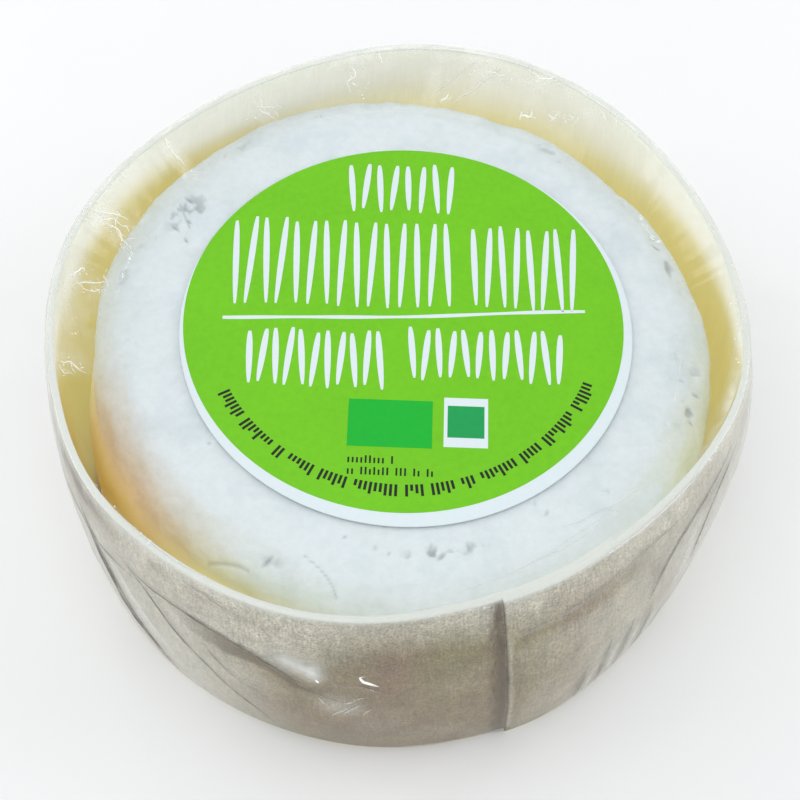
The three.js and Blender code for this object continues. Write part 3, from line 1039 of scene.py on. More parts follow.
def make_wheel(box, wheel):
    """The profile carried round, times the oval, plus the waves, slumped against the wall at the
    front left; kept inside the wall; then the rind's fine relief along the profile's normal,
    less its pits."""
    top = RIM_Z - wheel.under_rim
    radius, z = wheel_profile(wheel, top)
    slope_r, slope_z = np.gradient(radius), np.gradient(z)
    long = np.hypot(slope_r, slope_z)
    normal_r, normal_z = (slope_z / long)[:, None], (-slope_r / long)[:, None]
    angle = (TURN * np.arange(WHEEL_STATIONS) / WHEEL_STATIONS)[None, :]
    radius, z = radius[:, None], z[:, None]
    wave = rind_wave(wheel, angle, radius, z)
    oval = wheel.oval * np.cos(2 * (angle - wheel.long_way)) * radius / wheel.radius
    slump = bell(wrap(angle - SLUMP_AT), SLUMP_REACH) * smoothstep(z, 8 * MM, 16 * MM)
    slump = SLUMP * slump * smoothstep(top - z, 2.5 * MM, 10 * MM)
    reach = radius * (1 + oval) + wave + slump
    x = wheel.centre[0] + reach * np.cos(angle)
    y = wheel.centre[1] + reach * np.sin(angle)
    axis_x, axis_y = axis_at(box, z)
    own_angle = np.arctan2(y - axis_y, x - axis_x)
    own_reach = np.hypot(x - axis_x, y - axis_y)
    limit = bridged_inner(box, own_angle, z) - WALL_CLEARANCE
    kept = np.minimum(own_reach, limit)
    x, y = axis_x + kept * np.cos(own_angle), axis_y + kept * np.sin(own_angle)
    high = z + wave * smoothstep(z, top - 1.5 * MM, top)
    points = spot(x, y, high + 0 * x)

    shows = smoothstep(radius, 26 * MM, 30 * MM) * smoothstep(z, 20 * MM, 28 * MM)
    deep = rind_pits(x, y) * shows
    felt = 0.045 * MM * rough(points, 1.3 * MM, 91, 4)
    lumps = 0.22 * MM * rough(points, 3.2 * MM, 95, 3) * smoothstep(radius, 31 * MM, 37 * MM)
    crumbs = 0.05 * MM * np.maximum(noise(points, 0.5 * MM, 97), 0.2) * smoothstep(
        radius, 33 * MM, 38 * MM
    )
    relief = (felt + lumps + crumbs) * shows - 0.42 * MM * deep
    free = smoothstep(radius, 35 * MM, 37.5 * MM) * smoothstep(z, top - 4 * MM, top - 2.5 * MM)
    relief = np.minimum(relief, (0.09 + 0.3 * free) * MM)
    out = normal_r * relief
    points[..., 0] += out * np.cos(angle)
    points[..., 1] += out * np.sin(angle)
    points[..., 2] += normal_z * relief

    middle = np.array([
        [wheel.centre[0], wheel.centre[1], WHEEL_LOW], [wheel.centre[0], wheel.centre[1], top],
    ])
    own = np.arctan2(y, x)
    masks = {
        "pit": np.append(deep, [0, 0]),
        "bare": np.append(bare_rind(own, np.hypot(x, y), top - high), [1, 0]),
        "low": np.append(smoothstep(top - high, 3.0 * MM, 6.5 * MM) + 0 * x, [1, 0]),
        "soaked": np.append(soaked_and_shaded_rind(own, top - high), [0, 0]),
    }
    return put_capped("cheese", points, middle, masks=masks)


def bare_rind(angle, radius, depth):
    """Yellow where the bloom is gone: low on the side except at the front right, and on the
    shoulder's outer part at the front left, with a soft uneven border."""
    at = spot(6 * np.cos(angle), 6 * np.sin(angle), depth / (2 * MM))
    uneven = rough(at, 1.0, 111, 4)
    front_left = bell(wrap(angle - 226 * DEGREE), 26 * DEGREE)
    below = smoothstep(depth + 0.4 * MM * uneven - 1.2 * MM * front_left, 3.6 * MM, 5.4 * MM)
    worn = front_left * smoothstep(radius + 0.4 * MM * uneven, 38.3 * MM, 41.0 * MM)
    degrees = np.degrees(angle) % 360
    clean = smoothstep(degrees, 254, 266) * (1 - smoothstep(degrees, 350, 358))
    return np.clip(np.maximum(below * (1 - clean), worn), 0, 1)


def soaked_and_shaded_rind(angle, depth):
    """Mustard low on the side where the wheel leans on the wall, soak and painted shade of the gap."""
    return bell(wrap(angle - 211 * DEGREE), 20 * DEGREE) * smoothstep(depth, 4.5 * MM, 8 * MM)


def rind_material(wheel, painted_glow):
    made, tree, surface, _ = fresh_material("rind")
    placed = object_place(tree)
    cloud = use_group(tree, mottle_group(), {"Place": placed, "Patch Size": 0.0065})
    flecks = use_group(tree, mottle_group(), {"Place": placed, "Patch Size": 0.0011})
    colour = mix_colours(
        tree, in_range(tree, cloud["Mask"], 0.45, 1, 0, 0.8),
        tuple(wheel.bloom), tuple(wheel.bloom_shade),
    )
    shade = in_range(tree, flecks["Mask"], 0, 1, 0.955, 1.02)
    colour = mix_colours(tree, 1.0, colour, shade, "MULTIPLY")
    bare = mix_colours(tree, mask_of(tree, "low"), tuple(wheel.bare), tuple(wheel.deep_bare))
    bare = mix_colours(tree, mask_of(tree, "soaked"), bare, tuple(wheel.soaked))
    colour = mix_colours(tree, mask_of(tree, "bare"), colour, bare)
    # Painted shade: the pits, cracks and crumbs turn grey as they deepen.
    pit = in_range(tree, mask_of(tree, "pit"), 0.15, 0.9, 0, 0.75)
    colour = mix_colours(tree, pit, colour, tuple(wheel.pit))
    fuzz = node(tree, "TexNoise", {"Vector": placed, "Scale": 2600.0, "Detail": 3.0})
    set_inputs(tree, surface, {
        "Base Color": colour, "Roughness": 0.82,
        "Specular IOR Level": 0.3, "Sheen Weight": 0.1, "Sheen Roughness": 0.5,
        # Painted glow: the bare rind gives off its own colour as light.
        "Emission Color": bare,
        "Emission Strength": in_range(tree, mask_of(tree, "bare"), 0, 1, 0, painted_glow),
        "Normal": bump(tree, fuzz.outputs[0], 0.00008, 0.5),
    })
    return made


class CHEESE_OT_wheel(bpy.types.Operator):
    """Build the cheese with its rind"""

    bl_idname = "boxed_cheese.wheel"
    bl_label = "Cheese"

    def execute(self, context):
        wheel = context.scene.cheese_wheel
        piece = make_wheel(context.scene.cheese_box, wheel)
        piece.data.materials.append(rind_material(wheel, context.scene.cheese_box.painted_glow))
        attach(piece, "root")
        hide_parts("cheese_wheel")
        return {"FINISHED"}


# ---- The film ----

FILM_STATIONS = 720
TOP, FUNNEL, RIM, WALL, FOOT, BELOW = range(6)  # the film's stretches, one level each
RIM_TURN_Z = RIM_Z - 0.1 * MM
HEM_TURN_Z = 0.5 * MM
GATHERED_Z = BASE_LOW - 0.25 * MM
MM_PER_DEGREE = 0.75  # along the unrolled wall


def film_place(box, wheel, film, angle, level):
    """A point of the smooth film. The level's whole number names the stretch and the rest is
    the share along it: out over the top, up the funnel, over the rim by half an ellipse, down
    the wall, round the foot, and in below the base to the middle."""
    t = [np.clip(level - k, 0.0, 1.0) for k in range(6)]
    floor = RIM_Z - wheel.under_rim + film.lift
    rim_in = bridged_inner(box, angle, RIM_Z) - film.gap
    rim_out = bridged_outer(box, angle, RIM_Z) + film.gap
    wall_z = lerp(RIM_TURN_Z, HEM_TURN_Z, t[WALL])
    wall_r = bridged_outer(box, angle, wall_z) + film.gap
    foot_out = bridged_outer(box, angle, HEM_TURN_Z) + film.gap
    foot_in = bridged_inner(box, angle, 0 * angle) - 1.2 * MM
    over = math.pi * (1 - t[RIM])
    rim_r = (rim_in + rim_out) / 2 + (rim_out - rim_in) / 2 * np.cos(over)
    rim_z = RIM_TURN_Z + 0.28 * MM * np.sin(over) ** 0.8
    turn_in = smoothstep(t[FOOT], 0, 0.25)
    foot_r = lerp(foot_out - 0.5 * MM * turn_in, foot_in, smoothstep(t[FOOT], 0.15, 1.0))
    foot_z = HEM_TURN_Z * (1 - turn_in) + GATHERED_Z * smoothstep(t[FOOT], 0.78, 1.0)
    radius = np.select(
        [level < 1, level < 2, level < 3, level < 4, level < 5],
        [film.landing * t[TOP], lerp(film.landing, rim_in, t[FUNNEL]), rim_r, wall_r, foot_r],
        foot_in * (1 - t[BELOW]),
    )
    climb = t[FUNNEL] ** 1.25
    z = np.select(
        [level < 1, level < 2, level < 3, level < 4, level < 5],
        [floor + 0 * angle, lerp(floor, RIM_TURN_Z, climb), rim_z, wall_z, foot_z],
        GATHERED_Z,
    )
    return radius, z


def film_slack(film, angle, level):
    """Loose waves, always outwards: long streaks down the funnel, slanting ones on the wall,
    gathers that deepen towards the middle below."""
    around = spot(np.cos(angle), np.sin(angle))
    on_top = bell(level - 0.9, 0.25) * 0.12
    streaks = noise(np.concatenate([26 * around, 0.8 * level[..., None]], -1), 1.0, 121)
    fine = noise(np.concatenate([60 * around, 2.0 * level[..., None]], -1), 1.0, 122)
    funnel = smoothstep(level, 0.95, 1.3) * (1 - smoothstep(level, 1.85, 2.1))
    tilt = angle + 0.35 * (level - 3)
    slanting = spot(9 * np.cos(tilt), 9 * np.sin(tilt), 1.5 * (level - 3))
    wall = smoothstep(level, 3.0, 3.12) * (1 - smoothstep(level, 3.85, 4.0))
    gathers = smoothstep(level, 5.0, 5.5)
    pleated = np.abs(np.sin(27 * angle + 2.5 * np.sin(3 * angle))) + 0.5 * fine
    lift = (
        on_top * (1 + fine)
        + funnel * (0.8 + streaks + 0.35 * fine)
        + wall * (0.9 + 0.9 * rough(slanting, 1.0, 123))
    )
    return film.slack * np.maximum(lift, 0), 0.55 * MM * gathers * np.clip(pleated, 0, 1.6)


def film_point(box, wheel, film, angle, level):
    """A point of the film with its slack, which is radial on the wall, upwards on the top and
    the funnel, and downwards below the base."""
    angle, level = np.broadcast_arrays(angle, level)
    radius, z = film_place(box, wheel, film, angle, level)
    slack, sag = film_slack(film, angle, level)
    on_wall = smoothstep(level, 2.0, 3.0) * (1 - smoothstep(level, 3.9, 4.1))
    radius = radius + slack * on_wall
    z = z + slack * (1 - on_wall) * (level < 3.9) - sag
    slanted_angle = np.where(
        (level > 3) & (level < 5), slanted(box, angle, z), angle
    )
    return box_point(box, slanted_angle, radius, z)


def film_levels():
    """The film's rows, closest where it shows most."""
    return np.concatenate([
        [0.12, 0.5, 0.76], np.linspace(0.79, 1, 14)[:-1], np.linspace(1, 2, 22)[:-1],
        np.linspace(2, 3, 11)[:-1], np.linspace(3, 4, 72)[:-1], np.linspace(4, 5, 9)[:-1],
        np.linspace(5, 5.97, 12),
    ])


# Milky patches: angle in degrees, level, reach in degrees and in levels, and strength; where
# that is below zero the film is clearer.
HAZE_PATCHES = (
    (255.6, 3.265, 2.8, 0.06, 1.4), (258.4, 3.30, 1.6, 0.05, 0.9), (262, 3.53, 2.6, 0.08, 0.3),
    (346, 2.0, 14, 0.13, 0.75), (184, 1.75, 5, 0.5, 0.35), (207, 1.5, 9, 0.55, -0.6),
    (346, 1.3, 14, 0.35, -0.4), (312, 1.3, 16, 0.1, 0.2), (290, 1.55, 14, 0.12, 0.16),
    (161, 1.9, 5, 0.75, 0.42), (175, 1.7, 4, 0.6, 0.34), (193, 1.9, 4, 0.7, 0.3),
    (141, 1.5, 1.6, 0.8, 0.25), (136, 0.95, 5, 0.15, 0.18), (76, 1.8, 3.2, 0.7, 0.25),
    (84, 1.5, 2.2, 0.6, 0.2), (66, 1.9, 6, 0.5, 0.2), (100, 1.9, 6, 0.4, 0.2),
    (120, 1.5, 2, 0.6, 0.25), (55, 1.6, 5, 0.5, 0.15),
)


def wall_haze(angle, z):
    """Slightly milky film on the wall at both sides, clear at the front: painted reflection of the
    film where the wall turns away at the sides.
    """
    degrees = np.degrees(angle) % 360
    uneven = rough(on_wall(angle, z, 6), 1.0, 133, 4)
    clear = smoothstep(degrees + 3 * uneven, 234, 256)
    clear = clear * (1 - smoothstep(degrees + 4 * uneven, 300, 324))
    far = bell(degrees - 194, 7) + bell(degrees - 343, 10)
    return (0.15 + 0.12 * far) * (1 + 0.3 * uneven) * (1 - 0.9 * clear)


def fold_bands(folds, angle, z):
    """Milky bands along the folds, painted sheen beside the lines: each fades over its width on its
    own side of the path, or on both. Places are compared in millimetres on the unrolled wall."""
    arc, high = np.degrees(angle) % 360 * MM_PER_DEGREE, z / MM
    total = np.zeros_like(arc)
    for _, _, strength, width, side, points in folds:
        path = smooth_path(points, 48) * (MM_PER_DEGREE, 1)
        low, top = path.min(0) - 3 * width, path.max(0) + 3 * width
        near = (arc > low[0]) & (arc < top[0]) & (high > low[1]) & (high < top[1])
        dx = arc[near][:, None] - path[:, 0]
        dy = high[near][:, None] - path[:, 1]
        gap = np.hypot(dx, dy)
        closest = gap.argmin(1)
        rows = np.arange(len(closest))
        way = np.gradient(path, axis=0)[closest]
        turn_side = np.sign(way[:, 0] * dy[rows, closest] - way[:, 1] * dx[rows, closest])
        gap = gap[rows, closest]
        ends = smoothstep(closest, 0, 14) * (1 - smoothstep(closest, 24, 47))
        wanted = np.exp(-gap / width) * (turn_side == side) if side else bell(gap, width)
        total[near] = np.maximum(total[near], strength * wanted * ends)
    return total


def film_haze(folds, angle, level, z):
    """The patches' bells, the wall's own haze and bands, a milky band over the rim that is
    strongest behind, and faint cloud all over. Gives the haze, and how much the rim behind glows
    as a painted glint."""
    around = spot(14 * np.cos(angle), 14 * np.sin(angle), 5 * level)
    uneven = 0.6 + 0.4 * rough(around, 1.0, 131)
    haze = 0.02 + 0.03 * np.maximum(rough(around / 3, 1.0, 132), 0)
    for degrees, at, reach, tall, strength in HAZE_PATCHES:
        near = bell(wrap(angle - degrees * DEGREE), reach * DEGREE) * bell(level - at, tall)
        haze = haze + strength * near * uneven
    on_wall = smoothstep(level, 2.95, 3.03)
    haze = haze + on_wall * (wall_haze(angle, z) + fold_bands(folds, angle, z))
    behind = bell(wrap(angle - 95 * DEGREE), 100 * DEGREE)
    rim = smoothstep(level, 2.0 - 0.75 * behind, 2.5) * (1 - smoothstep(level, 3.0, 3.055))
    haze = np.clip(haze + rim * (0.22 + 0.36 * behind) * uneven, 0, 0.85)
    return haze, rim * behind


def make_film_skin(box, wheel, film, folds):
    level = film_levels()[:, None]
    angle = (TURN * np.arange(FILM_STATIONS) / FILM_STATIONS)[None, :]
    points = film_point(box, wheel, film, angle, level)
    own_angle, own_level = np.broadcast_arrays(angle, level)
    haze, lit = film_haze(folds, own_angle, own_level, points[..., 2])
    middle = np.stack([points[0].mean(0), points[-1].mean(0)])
    masks = {"haze": np.append(haze, [0.03, 0.4]), "glint": np.append(lit, [0, 0])}
    return put_capped("film_skin", points, middle, masks=masks)


# Folds of the wall: darkness and width in millimetres of the line, a painted crease shade,
# milkiness and width of the band beside it, a painted sheen, the band's side (1 above the path,
# -1 below, 0 both), and the path's points as angle in degrees and height in millimetres.
WALL_FOLDS = (
    (0.55, 0.4, 0.12, 1.6, -1, ((202, 28.5), (208, 28.4), (214, 27.6), (221, 28.0), (228, 29.2))),
    (0.70, 0.4, 0.10, 1.2, 1, (
        (224.5, 31.2), (228.8, 30.3), (232, 30.2), (236, 30.6), (239.3, 30.4), (244.9, 29.4),
        (249, 28.6), (253.4, 26.3), (256.7, 22.9), (260, 20.6), (264, 19.2),
    )),
    (0.65, 0.4, 0.14, 1.4, 1, (
        (222.6, 32.1), (224.5, 31.5), (228.8, 30.1), (230.5, 28.3), (233.8, 23.5), (239.3, 17.4),
        (243.5, 12.7), (247.0, 7.2), (248.5, 3.5),
    )),
    (0.40, 0.35, 0.10, 1.0, 1, (
        (239.7, 25.2), (241.4, 22.0), (244.8, 18.5), (247.8, 16.8), (249.3, 13.1),
    )),
    (0.85, 1.7, 0.0, 1.0, 0, (
        (213, 31.0), (217, 25.0), (220.3, 18.1), (222.1, 12.2), (225.3, 7.3), (228, 2.0),
    )),
    (0.0, 0.3, 0.32, 1.2, 0, (
        (217.5, 31.5), (221.5, 27.0), (225.4, 21.4), (228.4, 15.2), (231.2, 10.7), (234, 4.0),
    )),
    (0.15, 0.6, 0.3, 1.5, 1, ((203, 31.0), (207, 25.0), (211, 16.0), (214, 4.0))),
    (0.30, 0.3, 0.0, 1.0, 0, ((238, 37.3), (242, 37.2), (246, 36.0))),
    (0.30, 0.45, 0.0, 1.0, 0, (
        (289, 31.2), (294, 31.9), (299.6, 32.3), (306, 32.9), (312, 33.8), (316.7, 34.3),
        (320, 33.8), (325.4, 33.1),
    )),
    (0.40, 0.7, 0.0, 1.0, 0, (
        (339, 34.5), (332, 32.0), (326, 30.0), (321.5, 27.4), (318.6, 24.0), (317.0, 20.5),
        (315.2, 18.0),
    )),
    (0.0, 0.3, 0.26, 1.3, 0, ((330.5, 31.0), (327, 25.9), (325.2, 18.1), (323.6, 12.7), (320.4, 9.8))),
    (0.35, 0.7, 0.0, 1.0, 0, ((341, 33.0), (336, 29.5), (332.2, 25.8), (329.8, 21.4), (328.4, 16.0))),
    (0.0, 0.3, 0.25, 1.2, 0, ((327, 9.0), (332, 16.0), (338, 20.0), (345, 22.0))),
    (0.35, 0.3, 0.06, 0.8, -1, ((258, 24.2), (262, 25.2), (266, 24.4), (270, 22.0))),
)
# Steep folds side by side at the lower right: the first's and the last's angle in degrees, and
# each one's height in millimetres.
STEEP_FOLDS = (301.7, 320.8, (13.5, 17.0, 17.5, 18.0, 9.0))
# Gentle folds behind: how many are drawn, the first's angle, and from each to the next, in
# degrees. One that crosses angle zero is left out.
REAR_FOLDS = (9, 354, 21)


def smooth_path(points, steps):
    """A path through points at even shares of its length, rounded by a running mean."""
    points = np.array(points, float)
    steps_mm = np.diff(points, axis=0) * (MM_PER_DEGREE, 1)
    reach = np.append(0, np.cumsum(np.hypot(*steps_mm.T)))
    t = np.linspace(0, reach[-1], steps)
    path = np.stack([np.interp(t, reach, points[:, k]) for k in range(2)], -1)
    half = steps // 12
    padded = np.pad(path, ((half, half), (0, 0)), "reflect", reflect_type="odd")
    mean = np.ones(2 * half + 1) / (2 * half + 1)
    return np.stack([np.convolve(padded[:, k], mean, "valid") for k in range(2)], -1)


def wall_folds(rng):
    """Every fold of the wall: the listed ones, the steep ones, and some by a rule behind."""
    folds = list(WALL_FOLDS)
    first, last, tops = STEEP_FOLDS
    for k, top in enumerate(tops):
        foot = lerp(first, last, k / (len(tops) - 1))
        path = ((foot, 1.0), (foot + 0.2, top / 2), (foot + 1.5, top))
        folds.append((rng.uniform(0.26, 0.36), rng.uniform(0.45, 0.65), 0.0, 0.8, 0, path))
        path = ((foot + 2.3, 0.6), (foot + 2.4, top / 2), (foot + 3.6, top - 1.0))
        folds.append((0.0, 0.3, rng.uniform(0.26, 0.40), 0.75, 0, path))
    count, first, apart = REAR_FOLDS
    for k in range(count):
        start = first + apart * k + rng.uniform(-5, 5)
        lean = rng.uniform(7, 15)
        high, low = rng.uniform(33, 37), rng.uniform(3, 14)
        path = (
            (start, high), (start + 0.25 * lean, lerp(high, low, 0.4)), (start + lean, low),
        )
        path = tuple((degrees % 360, height) for degrees, height in path)
        if max(p[0] for p in path) - min(p[0] for p in path) < 90:
            folds.append((rng.uniform(0.14, 0.28), rng.uniform(0.3, 0.45),
                          rng.uniform(0.15, 0.28), 1.8, 1, path))
    return folds


def wall_level(height):
    return WALL + (RIM_TURN_Z - height) / (RIM_TURN_Z - HEM_TURN_Z)


def ribbon_frames(box, wheel, film, angle, level):
    """Places on the film along each path, with the film's outward normal and the direction
    across the path, from central differences."""
    step = 1e-3
    at = film_point(box, wheel, film, angle, level)
    round_way = film_point(box, wheel, film, angle + step, level)
    round_way -= film_point(box, wheel, film, angle - step, level)
    down_way = film_point(box, wheel, film, angle, level + step)
    down_way -= film_point(box, wheel, film, angle, level - step)
    normal = np.cross(down_way, round_way)
    normal /= np.linalg.norm(normal, axis=-1, keepdims=True)
    along = np.gradient(at, axis=1)
    across = np.cross(normal, along)
    across /= np.linalg.norm(across, axis=-1, keepdims=True) + 1e-12
    return at, normal, across


def fold_section(around):
    """A fold's closed section: across from -1 to 1 over the top, steep at its left edge, and
    back along the bottom. Gives the share across and the share of the lift."""
    top = np.linspace(-1, 1, around // 2 + 1)
    lift = np.clip((top + 1) / 0.5, 0, 1) * np.clip((1 - top) / 1.5, 0, 1) ** 1.3
    back = top[-2:0:-1]
    return np.concatenate([top, back]), np.concatenate([lift, 0 * back - 0.05])


def ribbons(name, at, normal, across, width, lift, line, band, around, glint):
    """Tubes with the fold section, swept along the given paths and tapered to both ends. line
    paints shade in the middle of each, band makes it milky as painted sheen, and glint makes it
    glow as a painted highlight."""
    steps = at.shape[1]
    t = np.linspace(0, 1, steps)
    taper = np.clip(np.sin(math.pi * t), 0, 1) ** 0.55 + 0.02
    share_across, share_up = fold_section(around)
    half = (width[:, None] / 2 * taper)[..., None, None]
    high = (lift[:, None] * taper)[..., None, None]
    points = (
        at[:, :, None, :]
        + across[:, :, None, :] * half * share_across[None, None, :, None]
        + normal[:, :, None, :] * (high * share_up[None, None, :, None] + 0.04 * MM)
    )
    fade = np.clip(1.15 * taper, 0, 1)[None, :, None]
    uneven = 0.8 + 0.4 * noise(at, 2.0 * MM, 141)[..., None]
    dark = line[:, None, None] * bell(share_across + 0.1, 0.55)[None, None, :] * fade * uneven
    milky = band[:, None, None] * (1 - 0.6 * np.abs(share_across))[None, None, :] * fade
    masks = {
        "haze": np.clip(milky + dark, 0, 0.95), "line": dark / (milky + dark + 1e-6),
        "glint": glint[:, None, None] * fade + 0 * milky,
    }
    return put_mesh(
        name, points.reshape(-1, 3), tube_polygons(len(width), steps, around), masks=masks
    )


def make_wall_folds(box, wheel, film, folds):
    """A narrow ridge along the path of every fold that has a line."""
    lined = [f for f in folds if f[0] > 0]
    paths = np.array([smooth_path(f[5], 64) for f in lined])
    level = np.clip(wall_level(paths[..., 1] * MM), 3.01, 3.985)
    at, normal, across = ribbon_frames(box, wheel, film, paths[..., 0] * DEGREE, level)
    line, width = (np.array([f[k] for f in lined]) for k in (0, 1))
    wide = 1.5 * width * MM
    lift = np.full(len(lined), 0.06 * MM)
    return ribbons(
        "film_folds", at, normal, across, wide, lift, line, 0 * line + 0.05, 12, 0 * line
    )


# Bright threads of crumpled film, painted highlights that are milky and glow: width in
# millimetres, brightness, and points as angle in degrees and radius in millimetres.
THREADS = (
    (0.30, 1.0, ((141.1, 41.0), (141.5, 40.0), (141.5, 39.1), (141.1, 38.4), (140.9, 37.1))),
    (0.30, 1.0, ((162.9, 43.0), (161.8, 41.7), (160.8, 40.5), (158.9, 39.3), (158.5, 37.6))),
    (0.26, 0.9, ((164.0, 42.3), (162.6, 40.7), (160.4, 39.6), (160.3, 38.1), (158.9, 37.4))),
    (0.30, 1.0, ((161.6, 41.0), (161.9, 39.6), (161.5, 38.5), (162.9, 37.4), (163.7, 36.1))),
    (0.26, 0.9, ((158.9, 39.3), (160.7, 39.2), (162.2, 38.3), (161.6, 37.2))),
    (0.30, 1.0, ((176.1, 41.3), (173.6, 40.5), (172.7, 40.2), (173.7, 39.8))),
    (0.28, 0.9, ((177.5, 40.9), (175.7, 40.0), (174.7, 38.7), (173.2, 37.7), (173.4, 37.0))),
    (0.24, 0.8, ((174.9, 40.5), (176.8, 39.8), (176.8, 38.9), (174.9, 37.5))),
    (0.24, 0.8, ((171.8, 38.2), (173.0, 37.5), (173.0, 37.1))),
    (0.26, 0.9, ((193.2, 42.5), (193.8, 41.6), (193.2, 40.5), (194.6, 40.0), (194.8, 38.7))),
    (0.22, 0.8, ((194.1, 42.1), (196.2, 41.6), (195.5, 40.9), (195.7, 40.5))),
    (0.40, 1.0, ((95.5, 42.0), (95.2, 41.6), (94.9, 41.2))),
    (0.28, 0.9, (
        (102.2, 40.4), (101.0, 40.7), (99.9, 40.2), (100.5, 39.5), (102.2, 39.2), (101.3, 37.8),
    )),
    (0.22, 0.7, ((99.4, 41.1), (98.3, 40.5), (97.8, 40.7))),
    (0.26, 0.8, ((120.7, 40.1), (119.9, 38.9), (120.8, 38.3), (119.6, 37.6), (117.9, 36.9))),
    (0.22, 0.7, ((122.0, 39.6), (121.4, 38.7), (117.9, 38.1), (116.7, 38.5))),
    (0.28, 0.8, ((76.6, 42.0), (72.1, 41.6), (69.8, 42.4))),
    (0.55, 0.35, ((72.2, 42.5), (75.8, 39.9), (80.5, 37.1))),
    (0.45, 0.25, ((76.5, 42.8), (80.5, 40.4), (85.5, 37.6))),
    (0.34, 1.0, ((66.3, 43.1), (64.7, 42.5), (62.1, 43.4), (60.8, 43.0))),
    (0.42, 1.0, ((66.0, 38.5), (65.1, 38.1), (63.6, 38.3), (63.2, 38.9))),
    (0.34, 0.9, ((60.4, 39.3), (58.9, 39.2), (58.4, 39.5))),
    (0.26, 0.8, ((56.4, 40.3), (55.9, 40.2), (55.3, 40.1))),
    (0.30, 0.8, ((52.4, 42.4), (50.8, 42.1), (49.2, 41.6))),
    (0.34, 0.9, ((83.2, 37.3), (81.6, 37.9), (81.0, 38.7))),
    (0.26, 0.7, ((68.0, 43.4), (66.2, 43.0), (64.2, 42.4))),
    (0.40, 0.40, ((300, 43.3), (308, 43.3), (316, 43.3), (324, 43.2), (331, 43.2))),
    (0.30, 0.30, ((222, 43.7), (229, 43.7), (236, 43.6), (243, 43.5))),
    (0.40, 0.16, ((282, 38.6), (291, 37.6), (300, 37.0), (310, 37.4))),
    (0.36, 0.15, ((306, 34.4), (314, 35.3), (322, 37.3), (328, 39.6))),
    (0.30, 0.22, ((293, 37.2), (299, 36.7), (305, 36.2), (311, 36.5), (318, 35.9))),
)
# Bright creases on the wall, painted glints: width in millimetres, brightness, and points as
# angle in degrees and height in millimetres.
WALL_GLINTS = (
    (0.42, 1.4, ((266.2, 27.7), (265.1, 27.4), (265.6, 26.3), (266.7, 25.7), (268.0, 25.0))),
    (0.34, 1.2, ((258.4, 26.0), (258.7, 25.6), (259.0, 25.2))),
    (0.40, 0.2, ((259.6, 15.0), (261.0, 16.8), (262.6, 18.2))),
    (0.40, 0.22, ((261.6, 16.0), (263.0, 18.0), (264.8, 19.6))),
    (0.35, 0.3, ((261.8, 19.6), (262.8, 20.0), (263.8, 20.6))),
    (0.35, 0.22, ((263.4, 20.6), (264.6, 21.6), (265.6, 21.8))),
    (0.30, 0.2, ((258.2, 20.8), (258.7, 19.8), (259.2, 18.8))),
    (0.35, 0.18, ((264.6, 16.0), (265.4, 17.4), (266.2, 18.4))),
)
# Small specks, painted glints, round a place: angle in degrees and radius, reach in both, and how
# many.
SPECKS = (
    (140, 35.8, 1.5, 1.6, 8), (161, 40.2, 3.5, 2.4, 34), (163, 37.0, 2.2, 1.6, 14),
    (175, 39.4, 3.0, 2.0, 22), (185.5, 40.4, 2.6, 1.0, 6), (194, 41.0, 2.0, 1.6, 14),
    (120, 38.6, 3.0, 1.8, 10), (100, 39.6, 3.0, 1.8, 12), (74, 41.8, 5.0, 1.2, 14),
    (64, 42.4, 5.0, 1.0, 16), (58, 40.0, 3.0, 1.0, 7), (50, 42.2, 4.0, 0.8, 8),
    (2, 41.9, 3.0, 0.6, 5), (354, 42.2, 4.0, 0.8, 5), (85, 42.4, 6.0, 0.6, 8),
    (150, 41.2, 5.0, 1.0, 8), (232, 43.6, 14, 0.3, 18), (286, 43.2, 12, 0.4, 12),
    (320, 43.1, 22, 0.4, 44),
)


def rim_level(box, film, angle, radius):
    """The film's level at a radius between the landing and the rim's outside."""
    rim_in = bridged_inner(box, angle, RIM_Z) - film.gap
    rim_out = bridged_outer(box, angle, RIM_Z) + film.gap
    up = (radius - film.landing) / (rim_in - film.landing)
    over = np.clip((radius - rim_in) / (rim_out - rim_in), 0, 1)
    return np.where(radius < rim_in, FUNNEL + up, RIM + np.arccos(1 - 2 * over) / math.pi)


